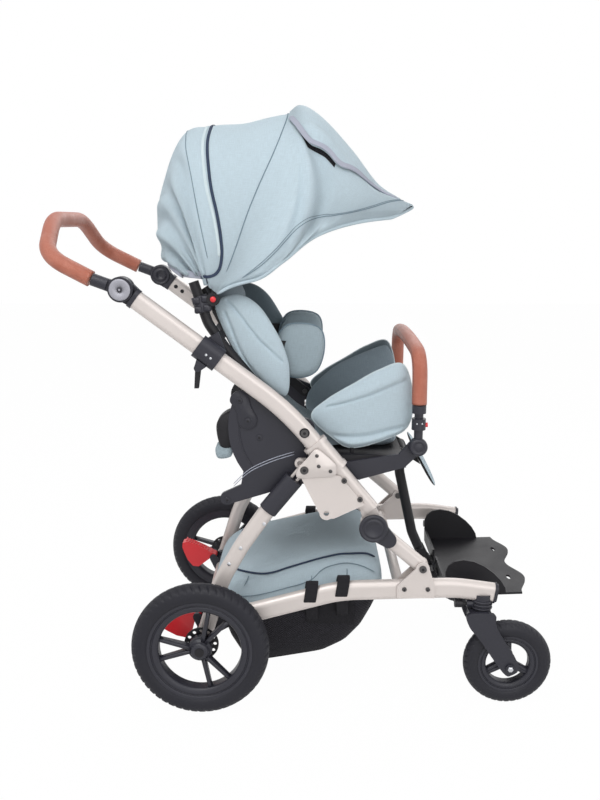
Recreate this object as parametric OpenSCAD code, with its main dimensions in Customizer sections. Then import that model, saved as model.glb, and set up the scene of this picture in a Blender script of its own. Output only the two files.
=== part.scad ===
// Special needs buggy: folding base and push frame, tilting seat unit, hood, basket, casters.
// Millimetres. +X is forward, +Z is up, the floor is z = 0, left and right mirror over y = 0.

/* [Wheels] */
// Diameter of the rear tyres
rear_wheel_d = 302; // [280:1:320]
// Width of the rear tyres
rear_tyre_w = 46; // [38:1:50]
// Distance between the middles of the rear tyres
rear_track = 574; // [572:1:620]
// Distance of the rear axle behind the middle of the buggy
rear_axle_back = 229; // [215:1:245]
// Diameter of the caster tyres
front_wheel_d = 196; // [170:1:200]
// Width of the caster tyres
front_tyre_w = 38; // [30:1:42]
// Distance of the caster axle in front of its stem
caster_lead = 62; // [45:1:75]
// Diameter of the wheel axles
axle_d = 12; // [8:1:14]

/* [Base frame] */
// Distance between the middles of the base rails
rail_span = 488; // [484:1:500]
// Height of the oval rail section
rail_h = 45; // [38:1:48]
// Width of the oval rail section
rail_w = 26; // [25:1:27]
// Height of the rail's middle line above the floor, at the bracket
rail_z = 274; // [268:1:282]
// Distance of the caster stem in front of the middle of the buggy
stem_x = 390; // [380:1:400]
// Distance of the fold bracket's bolt in front of the middle
bracket_x = 255; // [245:1:262]
// Height of the fold bracket's bolt above the rail's middle line
bracket_rise = 51; // [48:1:56]
// Thickness of the bracket plates and the frame gussets
plate_t = 4; // [2:0.5:4]
// Diameter of the cross tubes
cross_tube_d = 24; // [16:1:26]

/* [Upper frame] */
// Distance of the fold hub in front of the middle
hub_x = 146; // [140:1:152]
// Height of the fold hub above the floor
hub_z = 419; // [412:1:428]
// Diameter of the fold hub's cover
hub_d = 60; // [54:1:64]
// Distance between the middles of the two main tubes
main_span = 470; // [468:1:472]
// Height of the oval main tube section
main_h = 40; // [34:1:42]
// Width of the oval main tube section
main_w = 26; // [22:1:26]
// Slope of the lower part of the main tubes, in degrees
main_low_slope = 50.6; // [49:0.1:52]
// Slope of the upper part of the main tubes, in degrees
main_top_slope = 37; // [35:0.5:39]
// Length of the main tubes below their bend
main_low_len = 284; // [278:1:290]
// Length of the main tubes from their bend to the handle joint
main_top_len = 423; // [405:1:440]
// Height of the oval rear leg section
leg_h = 36; // [32:1:38]
// Width of the oval rear leg section
leg_w = 26; // [24:1:28]
// Height of the plastic sleeve on the rear legs
sleeve_h = 42; // [41:1:44]
// Width of the plastic sleeve on the rear legs
sleeve_w = 36; // [32:1:36]
// Height of the oval fold strut section
strut_h = 34; // [28:1:36]
// Width of the oval fold strut section
strut_w = 24; // [22:1:24]
// Diameter of the push handle's grip
grip_d = 34; // [28:1:38]
// Distance of the push handle's cross bar behind its joint
handle_reach = 165; // [150:1:175]
// Rise of the push handle's cross bar above its joint
handle_rise = 150; // [130:1:160]

/* [Seat unit] */
// Width between the outer faces of the seat's side plates
seat_w = 414; // [408:1:414]
// Width of the seat cushion
cushion_w = 296; // [270:1:304]
// Thickness of the seat cushion at its crown
cushion_t = 52; // [40:1:58]
// Thickness of the padded side guards
guard_t = 38; // [28:1:40]
// Height of the bumper bar above its joints
bumper_rise = 211; // [190:1:225]
// Diameter of the bumper bar's grip
bumper_d = 32; // [26:1:36]
// Width of the footplate
foot_w = 340; // [300:1:350]
// Length of the footplate
foot_len = 196; // [170:1:200]
// Diameter of the backrest posts
post_d = 22; // [18:1:22]
// Width of the back cushion
back_w = 284; // [260:1:288]
// Thickness of the back cushion at its crown
back_t = 46; // [36:1:52]

/* [Hood and basket] */
// Width of the hood at its pivots
hood_w = 424; // [420:1:430]
// Thickness of the hood's fabric
hood_t = 4; // [3:0.5:6]
// Width of the basket
basket_w = 392; // [380:1:394]
// Thickness of the basket's fabric
basket_t = 5; // [4:0.5:8]

/* [Fits] */
// Radial clearance of pins and shafts that turn
run_gap = 0.3; // [0.2:0.05:0.4]
// Side clearance between parts that move past each other
side_gap = 1; // [0.6:0.1:1.2]

/* [Hidden] */
$fn = 48;

// Vectors in the side plane are [forward, up]
function dir(a) = [cos(a), sin(a)];
function left_of(a) = [-sin(a), cos(a)];
function heading(p, q) = atan2(q[1] - p[1], q[0] - p[0]);
function unit(v) = v / norm(v);
function wrap(a) = a > 180 ? a - 360 : a < -180 ? a + 360 : a;
function space(p, y) = [p[0], y, p[1]];
function reversed(v) = [for (i = [len(v) - 1:-1:0]) v[i]];

// Wheels and base frame
rear_r = rear_wheel_d / 2;
front_r = front_wheel_d / 2;
axle_r = axle_d / 2;
axle = [-rear_axle_back, rear_r];
wheel_y = rear_track / 2;
rail_y = rail_span / 2;
rail_in = rail_y - rail_w / 2;
rail_out = rail_y + rail_w / 2;
rail_tail = axle + [89, 57];
rail_pts = [rail_tail, [75, rail_z - 7], [330, rail_z + 1], [stem_x + 24, rail_z - 11]];
rail_tail_angle = heading(rail_pts[0], rail_pts[1]);
bracket = [bracket_x, rail_z + bracket_rise];
bolt_r = 4;
pin_r = 6;
collar_top = rail_z - rail_h / 2 - 6;
fork_top = collar_top - 18;
stem_r = 8;
fork_in = front_tyre_w / 2 + 4;
fork_out = fork_in + 9;

// Upper frame and rear legs
hub = [hub_x, hub_z];
main_y = main_span / 2;
main_in = main_y - main_w / 2;
main_out = main_y + main_w / 2;
low_dir = dir(180 - main_low_slope);
low_right = [low_dir[1], -low_dir[0]];
top_dir = dir(180 - main_top_slope);
main_end = hub + 17 * low_right + 29 * low_dir;
knee = main_end + main_low_len * low_dir;
handle_joint = knee + main_top_len * top_dir;
tilt = knee - 59 * low_dir;
clamp_at = knee + 203 * top_dir;
leg_bolt = hub + 196 * unit(hub - bracket);
leg_y = main_y - 3;
gusset_in = leg_y - sleeve_w / 2 - side_gap;
gusset_out = leg_y + sleeve_w / 2 + side_gap;
leg_top_angle = 51;
sleeve_top = leg_bolt - 34 * dir(leg_top_angle);
sleeve_low = sleeve_top - 92 * dir(leg_top_angle);
leg_pts = [axle + 14 * dir(66), [-183, 290], [-140, 366], sleeve_low - 12 * dir(leg_top_angle)];
disc_out = main_out + 2 * side_gap;

// Seat unit, in the frame of the tilt pivot
side_out = seat_w / 2;
side_t = 8;
side_in = side_out - side_t;
guard_out = side_in - 2;
post_y = guard_out - post_d / 2;
bumper_y = side_out + side_gap + 10;
bumper_at = tilt + [244, -37];
legrest_at = tilt + [238, -102];
foot_hinge = tilt + [312, -404];
hood_at = tilt + [-191, 277];
back_angle = 117.4;
back_low = tilt + [-78, 39];
bracket_in = back_w / 2 + 1.5;

// Places its child, drawn in the side plane, as a plate from y0 to y1
module side_plate(y0, y1) {
    rotate([90, 0, 0]) translate([0, 0, -y1]) linear_extrude(y1 - y0) children();
}

module both_sides() {
    children();
    mirror([0, 1, 0]) children();
}

// Round pin across the buggy, from y0 to y1
module cross_pin(p, r, y0, y1) {
    translate(space(p, y0)) rotate([-90, 0, 0]) cylinder(r = r, h = y1 - y0);
}

// Oval section, taller in the side plane than it is wide
module oval(h, w) {
    square([h - w, w], center = true);
    for (s = [-1, 1]) translate([s * (h - w) / 2, 0]) circle(d = w);
}

function turn(pts, i) = wrap(heading(pts[i], pts[i + 1]) - heading(pts[i - 1], pts[i]));
function cut_back(pts, i, r) = r * tan(abs(turn(pts, i)) / 2);

// Tube along points in the side plane at a given y; its child is the section.
// The round bends are a hair slimmer than the straights and reach a little way into them.
bend_lap = 3.3;
bend_scale = 0.997;

module tube_run(pts, y, bend_r) {
    last = len(pts) - 1;
    for (i = [0:last - 1]) {
        a = heading(pts[i], pts[i + 1]);
        start = i == 0 ? 0 : cut_back(pts, i, bend_r);
        stop = norm(pts[i + 1] - pts[i]) - (i == last - 1 ? 0 : cut_back(pts, i + 1, bend_r));
        translate(space(pts[i] + start * dir(a), y)) rotate([0, 90 - a, 0])
            linear_extrude(stop - start) children();
    }
    if (last > 1) for (i = [1:last - 1]) {
        a = heading(pts[i - 1], pts[i]);
        t = turn(pts, i);
        lap = min(bend_lap, 0.2 * sqrt(bend_r)) / bend_r * 180 / PI;
        s = sign(t);
        centre = pts[i] - cut_back(pts, i, bend_r) * dir(a) + s * bend_r * left_of(a);
        translate(space(centre, y)) rotate([s * 90, 0, 0]) rotate([0, 0, s * a - 90 - lap])
            rotate_extrude(angle = abs(t) + 2 * lap) translate([bend_r, 0]) scale(bend_scale) children();
    }
}

// Corners of a path in space drawn out into smooth curves
function bent(pts, cut, n) = [
    pts[0],
    for (i = [1:len(pts) - 2])
        let (a = pts[i] + cut * unit(pts[i - 1] - pts[i]), b = pts[i] + cut * unit(pts[i + 1] - pts[i]))
            for (k = [0:n]) let (t = k / n) (1 - t) * (1 - t) * a + 2 * t * (1 - t) * pts[i] + t * t * b,
    pts[len(pts) - 1]
];
function over_to_right(pts) = concat(pts, [for (p = reversed(pts)) if (p[1] > 0) [p[0], -p[1], p[2]]]);

// Round bar swept along a path in space; side is a direction the path never takes
module swept_bar(path, r, sides, side) {
    n = len(path);
    function along(i) = unit(path[min(i + 1, n - 1)] - path[max(i - 1, 0)]);
    function ring(i) = let (t = along(i), b = unit(cross(t, side)), c = cross(b, t))
        [for (k = [0:sides - 1]) path[i] + r * (cos(360 * k / sides) * b + sin(360 * k / sides) * c)];
    points = [for (i = [0:n - 1]) each ring(i)];
    faces = concat(
        [[for (k = [sides - 1:-1:0]) k]],
        [for (i = [0:n - 2], k = [0:sides - 1]) let (a = i * sides + k, b = i * sides + (k + 1) % sides)
            each [[a, b, b + sides], [a, b + sides, a + sides]]],
        [[for (k = [0:sides - 1]) (n - 1) * sides + k]]);
    polyhedron(points, faces, convexity = 6);
}

// Closed smooth line through hand-set points
function smooth_point(a, b, c, d, t) =
    0.5 * (2 * b + (c - a) * t + (2 * a - 5 * b + 4 * c - d) * t * t + (3 * b - a - 3 * c + d) * t * t * t);
function smooth_loop(pts, n) = let (m = len(pts)) [
    for (i = [0:m - 1], k = [0:n - 1])
        smooth_point(pts[(i + m - 1) % m], pts[i], pts[(i + 1) % m], pts[(i + 2) % m], k / n)
];
function middle(pts) = [for (k = [0, 1]) [for (p = pts) p[k]] * [for (p = pts) 1] / len(pts)];

// Stuffed pad over a closed line: a seam round its edge, a crown on top and a crown below
module pad(line, top, below) {
    n = len(line);
    m = middle(line);
    steps = [[0.93, -1], [0.985, -0.55], [1, 0], [0.985, 0.5], [0.93, 0.76], [0.78, 0.92], [0.45, 0.99]];
    function height(s) = s[1] < 0 ? s[1] * below : s[1] * top;
    points = concat(
        [[m[0], m[1], -below]],
        [for (s = steps, p = line) let (q = m + s[0] * (p - m)) [q[0], q[1], height(s)]],
        [[m[0], m[1], top]]);
    rows = len(steps);
    end = rows * n + 1;
    faces = concat(
        [for (k = [0:n - 1]) [0, 1 + k, 1 + (k + 1) % n]],
        [for (i = [0:rows - 2], k = [0:n - 1])
            let (a = 1 + i * n + k, b = 1 + i * n + (k + 1) % n) each [[a, b + n, b], [a, a + n, b + n]]],
        [for (k = [0:n - 1]) [end, 1 + (rows - 1) * n + (k + 1) % n, 1 + (rows - 1) * n + k]]);
    polyhedron(points, faces, convexity = 4);
}

// Pad standing in the side plane, its outer face at y1 and its inner face at y0
module side_pad(line, y0, y1) {
    mid = (y0 + y1) / 2;
    translate([0, mid, 0]) rotate([90, 0, 0]) pad(line, (y1 - y0) / 2, (y1 - y0) / 2);
}

// Finishes
champagne = "#e1dad0";
dark = "#3e3e48";
black = "#222226";
steel = "#b8bcc0";
red = "#d7232d";
leather = "#be694b";
cloth = "#bed0d7";
lining = "#5a696e";

// Fits and small parts that several pieces share
fit_gap = 0.05;
casting_in = 198;
casting_t = 16;
head_r = 8;
head_t = 4;
front_cross = [208, rail_z - 2];
bend_r = 320;

// Base rails, with the sockets of the caster stems
module rail_shape(grow) {
    tube_run(rail_pts, rail_y, bend_r) oval(rail_h + 2 * grow, rail_w + 2 * grow);
}

module base_rails() {
    color(champagne) both_sides() difference() {
        rail_shape(0);
        translate([stem_x, rail_y, 0]) cylinder(r = stem_r + run_gap, h = rail_z - 2);
    }
}

module cross_tubes() {
    color(champagne) {
        cross_pin(front_cross, cross_tube_d / 2, plate_t - rail_in, rail_in - plate_t);
        difference() {
            cross_pin(axle, cross_tube_d / 2, -casting_in, casting_in);
            cross_pin(axle, axle_r + fit_gap, -casting_in - 1, casting_in + 1);
        }
    }
}

module rail_end_caps() {
    end = rail_pts[3];
    a = heading(rail_pts[2], end);
    color(dark) both_sides()
        translate(space(end, rail_y)) rotate([0, 90 - a, 0]) {
            linear_extrude(4) oval(rail_h + 3, rail_w + 3);
            translate([0, 0, 4]) linear_extrude(4) oval(rail_h - 3, rail_w - 3);
        }
}

// Castings that carry the axle inboard of the rails' rear ends
module axle_castings() {
    u = dir(rail_tail_angle);
    v = left_of(rail_tail_angle);
    block = [rail_tail + 24 * v, rail_tail - 24 * v, rail_tail - 24 * v - 22 * u,
        rail_tail + 24 * v - 22 * u];
    color(dark) both_sides() difference() {
        union() {
            side_plate(casting_in, rail_out + 1) polygon(block);
            side_plate(casting_in, casting_in + casting_t)
                polygon([axle + [-2, 19], axle + [2, -19], block[1], block[0]]);
            cross_pin(axle, 19, casting_in, casting_in + casting_t);
        }
        cross_pin(axle, axle_r + fit_gap, casting_in - 1, casting_in + casting_t + 1);
    }
}

module rear_axle() {
    end = wheel_y + 19;
    color(steel) {
        cross_pin(axle, axle_r, -end, end);
        both_sides() cross_pin(axle, axle_r + 4, end, end + 4);
    }
}

module bracket_plate() {
    difference() {
        union() {
            polygon([bracket - [55, bracket_rise + 17], bracket + [27, -bracket_rise - 17],
                bracket + [27, -bracket_rise + 12], bracket + [15, 0], bracket - [15, 0],
                bracket - [55, bracket_rise - 12]]);
            translate(bracket) circle(15);
        }
        translate(bracket) circle(bolt_r + fit_gap);
    }
}

module fold_brackets() {
    color(champagne) both_sides() {
        side_plate(rail_out, rail_out + plate_t) bracket_plate();
        side_plate(rail_in - plate_t, rail_in) bracket_plate();
    }
}

// Bolts and rivets of the fold brackets
module bracket_bolts() {
    face = rail_out + plate_t;
    back = rail_in - plate_t;
    color(steel) both_sides() {
        cross_pin(bracket, bolt_r, back, face);
        cross_pin(bracket, head_r, face, face + head_t);
        cross_pin(bracket, head_r, back - head_t, back);
        for (x = [-39, 12]) cross_pin(bracket + [x, -bracket_rise + 4], 5, face, face + 2);
    }
}

lock_z = fork_top + 10;
lock_r = 4;

// Collars under the rails that hold the caster stems and the swivel locks
module caster_collars() {
    color(dark) both_sides() difference() {
        union() {
            translate([stem_x, rail_y, fork_top + side_gap])
                cylinder(r = 20, h = rail_z - 12 - fork_top - side_gap);
            translate([stem_x, rail_y, lock_z]) rotate([0, -90, 0]) cylinder(r = 8, h = 34);
        }
        rail_shape(fit_gap);
        translate([stem_x, rail_y, 0]) cylinder(r = stem_r + run_gap, h = rail_z);
        translate([stem_x, rail_y, lock_z]) rotate([0, -90, 0]) cylinder(r = lock_r + run_gap, h = 60);
    }
}

module swivel_locks() {
    color(black) both_sides() translate([stem_x - 12, rail_y, lock_z]) rotate([0, -90, 0]) {
        cylinder(r = lock_r, h = 40);
        translate([0, 0, 32]) cylinder(r = 9, h = 16);
    }
}

// Foot brakes: a housing on the axle tube and a red pedal on its pin
pedal_at = axle + [-20, 23];
brake_y0 = 148;
brake_y1 = 190;
cheek_t = 6;

module brake_housings() {
    color(dark) both_sides() {
        difference() {
            union() {
                cross_pin(axle, 18, brake_y0, brake_y1);
                for (y = [brake_y0, brake_y1 - cheek_t]) {
                    side_plate(y, y + cheek_t) polygon([axle + [18, 2], pedal_at + [8, 5],
                        pedal_at - [8, 5], axle - [17, 6]]);
                    cross_pin(pedal_at, 9, y, y + cheek_t);
                }
            }
            cross_pin(axle, cross_tube_d / 2 + fit_gap, brake_y0 - 1, brake_y1 + 1);
        }
        cross_pin(pedal_at, bolt_r, brake_y0, brake_y1);
    }
}

module brake_pedal(s) {
    y0 = brake_y0 + cheek_t + side_gap;
    y1 = brake_y1 - cheek_t - side_gap;
    // The left pedal stands released, the right one is part pressed
    rise = s > 0 ? 29 : -9;
    scoop = [[2, 8], [-30, 9], [-64, 7], [-84, 3], [-91, -6], [-86, -17], [-74, -28], [-56, -42], [-36, -50],
        [-22, -44], [-6, -7]];
    hollow = [[-22, -8], [-62, -6], [-80, -14], [-64, -60], [-12, -60]];
    color(red) on_side(s) difference() {
        union() {
            cross_pin(pedal_at, 9, y0, y1);
            difference() {
                side_plate(y0, y1) translate(pedal_at) rotate(-rise) polygon(scoop);
                side_plate(y0 + 4, y1 - 4) translate(pedal_at) rotate(-rise) polygon(hollow);
            }
        }
        cross_pin(pedal_at, bolt_r + run_gap, y0 - 1, y1 + 1);
    }
}

// Cloth basket slung between the rails, open at the top
basket_line = [[-150, 402], [-20, 424], [108, 424], [182, 342], [178, 266], [150, 188], [86, 108], [-66, 70],
    [-164, 96], [-202, 178], [-228, 264], [-204, 338]];

module basket() {
    line = smooth_loop(basket_line, 4);
    m = middle(line);
    inner = [for (p = line) let (d = norm(p - m)) m + (p - m) * (d - basket_t) / d];
    rise = [70, 190];
    half = basket_w / 2;
    color(cloth) difference() {
        side_plate(-half, half) polygon(line);
        side_plate(-half + basket_t, half - basket_t) {
            polygon(inner);
            polygon([inner[0], inner[0] + rise, inner[12] + rise, inner[12], inner[8], inner[4]]);
        }
    }
}

// Webbing loops that hang the basket from the rails
module basket_straps() {
    corner = rail_pts[1];
    color(black) for (x = [-16, 17]) both_sides() {
        z = corner[1] + tan(rail_tail_angle) * (x - corner[0]);
        translate([x, rail_y, z]) rotate([0, 90 - rail_tail_angle, 0]) linear_extrude(22) difference() {
            oval(rail_h + 7, rail_w + 7);
            oval(rail_h + 0.6, rail_w + 0.6);
        }
        translate([x, basket_w / 2 + 0.3, z - 6]) cube([15, rail_in - 3 - basket_w / 2, 4]);
    }
}

// Fold struts between the brackets and the fold hubs
hub_lug_r = 26;
arm_t = 11;

module strut_shape(grow) {
    a = heading(bracket, hub);
    reach = norm(hub - bracket);
    tube_run([bracket + 4 * dir(a), bracket + (reach - 33) * dir(a)], rail_y, 1)
        oval(strut_h + 2 * grow, strut_w + 2 * grow);
}

module fold_struts() {
    half = strut_w / 2;
    color(champagne) both_sides() difference() {
        union() {
            cross_pin(bracket, half, rail_y - half, rail_y + half);
            strut_shape(0);
        }
        cross_pin(bracket, bolt_r + run_gap, rail_y - half - 1, rail_y + half + 1);
    }
}

// Fold hubs: a moulded arm on the upper end of each strut, under a round cover
module hub_covers() {
    a = heading(bracket, hub);
    near = hub - 44 * dir(a);
    half = strut_h / 2;
    face = disc_out + arm_t;
    color(dark) both_sides() difference() {
        union() {
            side_plate(disc_out, face) {
                translate(hub) circle(hub_lug_r);
                polygon([hub + hub_lug_r * left_of(a), hub - hub_lug_r * left_of(a), near - half * left_of(a),
                    near + half * left_of(a)]);
                translate(near) circle(half);
            }
            difference() {
                cross_pin(hub, hub_d / 2, face - 1, face + 5);
                cross_pin(hub, hub_d / 2 - 5, face + 3, face + 6);
            }
            cross_pin(hub, hub_d / 2 - 9, face, face + 5);
        }
        strut_shape(fit_gap);
        cross_pin(hub, pin_r + fit_gap, disc_out - 1, face);
    }
}

module hub_pins() {
    color(steel) both_sides() cross_pin(hub, pin_r, main_in - 3, disc_out + arm_t);
}

// Main tubes from the fold hubs up to the handle joints
lug_inset = 2;

module main_tubes() {
    root = main_end + 14 * low_dir;
    lug = [root + 16 * low_right, root - 16 * low_right, hub - 24 * low_right, hub + 24 * low_right];
    color(champagne) both_sides() difference() {
        union() {
            tube_run([main_end, knee, handle_joint - 36 * top_dir], main_y, 600) oval(main_h, main_w);
            side_plate(main_in + lug_inset, main_out - lug_inset) polygon(lug);
            cross_pin(hub, hub_lug_r, main_in + lug_inset, main_out - lug_inset);
        }
        cross_pin(hub, pin_r + run_gap, main_in - 1, main_out + 1);
    }
}

module tube_ring(p, q, h, w) {
    tube_run([p, q], main_y, 1) difference() {
        oval(h, w);
        oval(main_h + 2 * fit_gap, main_w + 2 * fit_gap);
    }
}

// Painted collars round the main tubes, below the bend
module tube_collars() {
    color(champagne) both_sides() difference() {
        union() {
            tube_run([knee - 92 * low_dir, knee - 167 * low_dir], main_y, 1) oval(main_h + 12, main_w + 4);
            for (s = [91, 159]) tube_run([knee - s * low_dir, knee - (s + 9) * low_dir], main_y, 1)
                oval(main_h + 16, main_w + 5);
        }
        tube_run([knee - 80 * low_dir, knee - 180 * low_dir], main_y, 1)
            oval(main_h + 2 * fit_gap, main_w + 2 * fit_gap);
    }
}

// Gusset plates under the main tubes, where the rear legs are bolted
gusset_hole = hub + [-101, 31];
gusset_bolts = [knee - 192 * low_dir, knee - 246 * low_dir];

module gusset_plate() {
    difference() {
        union() {
            polygon([leg_bolt + [-12, 7], knee - 180 * low_dir, knee - 262 * low_dir,
                gusset_hole + [16, -12], gusset_hole - [10, 11], leg_bolt - [13, 5]]);
            translate(leg_bolt) circle(14);
            translate(gusset_hole) circle(15);
        }
        translate(gusset_hole) circle(pin_r);
        for (p = concat([leg_bolt], gusset_bolts)) translate(p) circle(bolt_r + fit_gap);
    }
}

module gussets() {
    color(champagne) both_sides() {
        side_plate(gusset_out, gusset_out + plate_t) gusset_plate();
        side_plate(gusset_in - plate_t, gusset_in) gusset_plate();
        for (p = gusset_bolts) difference() {
            union() {
                cross_pin(p, 8, main_out, gusset_out);
                cross_pin(p, 8, gusset_in, main_in);
            }
            cross_pin(p, bolt_r + fit_gap, gusset_in - 1, gusset_out + 1);
        }
    }
}

// Tilt pins, leg bolts and the other bolts of the upper frame
module frame_bolts() {
    face = gusset_out + plate_t;
    back = gusset_in - plate_t;
    color(steel) both_sides() {
        cross_pin(tilt, pin_r, post_y + 1, main_in);
        cross_pin(tilt, 12, side_out + side_gap, main_in);
        cross_pin(tilt, head_r, main_out, main_out + head_t);
        cross_pin(leg_bolt, bolt_r, back, face);
        cross_pin(leg_bolt, head_r + 1, face, face + head_t);
        for (p = gusset_bolts) {
            cross_pin(p, bolt_r, main_out, face);
            cross_pin(p, 6, face, face + 2);
        }
    }
}

// Clamps on the main tubes, with a fin towards the backrest and a quick-release lever below
clamp_angle = 180 - main_top_slope;
lever_at = clamp_at + (main_h / 2 + 17) * left_of(clamp_angle);

module tube_clamps() {
    u = top_dir;
    v = -left_of(clamp_angle);
    foot = clamp_at + (main_h / 2 + 4) * v;
    color(dark) both_sides() {
        tube_ring(clamp_at - 27 * u, clamp_at + 27 * u, main_h + 12, main_w + 10);
        side_plate(main_in - 5, main_in + 3) polygon([foot - 24 * u, foot + 20 * u, foot + 10 * u + 22 * v]);
        difference() {
            for (s = [-1, 1]) side_plate(main_y + s * 10 - 3, main_y + s * 10 + 3) {
                polygon([lever_at + 13 * u + 14 * v, lever_at - 13 * u + 14 * v, lever_at - 8 * u,
                    lever_at + 8 * u]);
                translate(lever_at) circle(8);
            }
            cross_pin(lever_at, 3 + fit_gap, main_in, main_out);
        }
        cross_pin(lever_at, 3, main_y - 13, main_y + 13);
    }
}

module clamp_levers() {
    tip = lever_at + [-4, -44];
    color(black) both_sides() difference() {
        union() {
            cross_pin(lever_at, 7, main_y - 6, main_y + 6);
            side_plate(main_y - 6, main_y + 6)
                polygon([lever_at + [6, 0], lever_at - [6, 0], tip - [5, 0], tip + [4, 0]]);
        }
        cross_pin(lever_at, 3 + run_gap, main_y - 7, main_y + 7);
    }
}

// Toothed hinges that join the push handle to the main tubes
handle_disc_r = 26;
joint_t = 12;
arm_in = main_in + joint_t + side_gap;

module handle_joints() {
    neck = handle_joint - 36 * top_dir;
    side = left_of(clamp_angle);
    color(dark) both_sides() {
        tube_run([neck, neck + 9 * top_dir], main_y, 1) oval(main_h + 4, main_w + 2);
        side_plate(main_in, main_in + joint_t) {
            polygon([neck + 19 * side, neck - 19 * side, handle_joint - 24 * side,
                handle_joint + 24 * side]);
            translate(handle_joint) circle(handle_disc_r);
        }
        cross_pin(handle_joint, pin_r, main_in, arm_in + 15);
    }
}

arm_angle = 160;
arm_y = arm_in + 9;
ferrule_end = handle_joint + 60 * dir(arm_angle);

module handle_arms() {
    color(dark) both_sides() difference() {
        union() {
            cross_pin(handle_joint, handle_disc_r, arm_in, arm_in + 15);
            cross_pin(handle_joint, handle_disc_r - 8, arm_in, arm_in + 18);
            tube_run([handle_joint + 28 * dir(arm_angle), ferrule_end], arm_y, 1) circle(13);
            side_plate(arm_in, arm_in + 15) polygon([handle_joint + 14 * left_of(arm_angle),
                handle_joint - 14 * left_of(arm_angle),
                handle_joint + 30 * dir(arm_angle) - 12 * left_of(arm_angle),
                handle_joint + 30 * dir(arm_angle) + 12 * left_of(arm_angle)]);
        }
        cross_pin(handle_joint, pin_r + run_gap, arm_in - 1, arm_in + 19);
    }
}

module handle_grip() {
    back = handle_joint[0] - handle_reach;
    top = handle_joint[1] + handle_rise;
    path = over_to_right(bent([
        space(ferrule_end + 3.2 * dir(arm_angle), arm_y),
        [back + 14, arm_y - 8, handle_joint[1] + 68],
        [back - 2, 118, top - 10],
        [back - 2, 0, top - 10]], 42, 6));
    color(leather) swept_bar(path, grip_d / 2, 12, [0.5, 0, 0.87]);
}

// Rear legs, which turn on the axle; the slot at the top lets the leg bolt move while the frame folds
slot = 12.6 * left_of(heading(axle, leg_bolt)) + 2.7 * dir(heading(axle, leg_bolt));
eye_r = 18;

module rear_legs() {
    a = leg_top_angle;
    wide = 11;
    color(champagne) both_sides() {
        difference() {
            union() {
                tube_run(concat(leg_pts, [sleeve_top - 6 * dir(a)]), leg_y, 260) oval(leg_h, leg_w);
                cross_pin(axle, eye_r, leg_y - 10, leg_y + 10);
            }
            cross_pin(axle, axle_r + run_gap, leg_y - 20, leg_y + 20);
        }
        for (s = [-1, 1]) tube_run([sleeve_top - 6 * dir(a) + 7 * s * left_of(a),
            leg_bolt - 5 * dir(a) + 7 * s * left_of(a)], leg_y, 1) circle(3.5);
        side_plate(leg_y - 4, leg_y + 4) difference() {
            union() {
                translate(leg_bolt) circle(wide);
                translate(leg_bolt + slot) circle(wide);
                polygon([leg_bolt + wide * dir(a), leg_bolt - wide * dir(a), leg_bolt + slot - wide * dir(a),
                    leg_bolt + slot + wide * dir(a)]);
            }
            for (p = [leg_bolt, leg_bolt + slot]) translate(p) circle(bolt_r + 1.5);
            polygon([for (p = [[0, 1], [0, -1], [1, -1], [1, 1]])
                leg_bolt + p[0] * slot + p[1] * (bolt_r + 1.5) * left_of(heading([0, 0], slot))]);
        }
    }
}

module leg_sleeves() {
    color(dark) both_sides() difference() {
        tube_run([sleeve_low, sleeve_top], leg_y, 1) oval(sleeve_h, sleeve_w);
        tube_run([sleeve_low - dir(leg_top_angle), sleeve_top - 5.9 * dir(leg_top_angle)], leg_y, 1)
            oval(leg_h + 2 * fit_gap, leg_w + 2 * fit_gap);
        for (s = [-7, 7]) translate(space(s * left_of(leg_top_angle), 0))
            tube_run([sleeve_top - 8 * dir(leg_top_angle), sleeve_top + dir(leg_top_angle)], leg_y, 1)
                circle(3.5 + fit_gap);
    }
}

// Wheels
rear_rim_r = rear_r - 37;
front_rim_r = front_r - 32;
hub_half = 18;

module on_side(s) {
    if (s > 0) children();
    else mirror([0, 1, 0]) children();
}

module turned(p, y) {
    translate(space(p, y)) rotate([90, 0, 0]) rotate_extrude($fn = 96) children();
}

module tyre(p, y, r, w, rim_r) {
    color(black) turned(p, y) difference() {
        translate([r - w / 2, 0]) circle(d = w);
        translate([0, -w]) square([rim_r, 2 * w]);
    }
}

module rim_ring(r, w, t) {
    difference() {
        translate([0, -w / 2]) square([r, w]);
        translate([-1, -w]) square([r - t + 1, 2 * w]);
    }
}

module rear_rim(s) {
    color(dark) on_side(s) difference() {
        union() {
            turned(axle, wheel_y) rim_ring(rear_rim_r, 34, 25);
            cross_pin(axle, 20, wheel_y - hub_half, wheel_y + hub_half);
            side_plate(wheel_y - 5, wheel_y + 7) translate(axle)
                for (pair = [65, 185, 305], side = [-1, 1]) rotate(pair + 12 * side)
                    translate([12, -6]) square([rear_rim_r - 30, 12]);
        }
        cross_pin(axle, axle_r + run_gap, wheel_y - 40, wheel_y + 40);
    }
}

module brake_disc(s) {
    back = wheel_y - hub_half - 3;
    color(steel) on_side(s) difference() {
        cross_pin(axle, 38, back, back + 3);
        cross_pin(axle, axle_r + run_gap, back - 1, back + 4);
        for (a = [0:30:330]) cross_pin(axle + 30 * dir(a), 4, back - 1, back + 4);
    }
}

caster_axle = [stem_x + caster_lead, front_r];

module front_rim(s) {
    color(dark) on_side(s) difference() {
        union() {
            turned(caster_axle, rail_y) rim_ring(front_rim_r, 28, 18);
            cross_pin(caster_axle, 18, rail_y - 15, rail_y + 15);
            side_plate(rail_y - 5, rail_y + 5) translate(caster_axle)
                for (a = [90, 210, 330]) rotate(a) translate([10, -8]) square([front_rim_r - 22, 16]);
        }
        cross_pin(caster_axle, pin_r + run_gap, rail_y - 40, rail_y + 40);
    }
}

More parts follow.
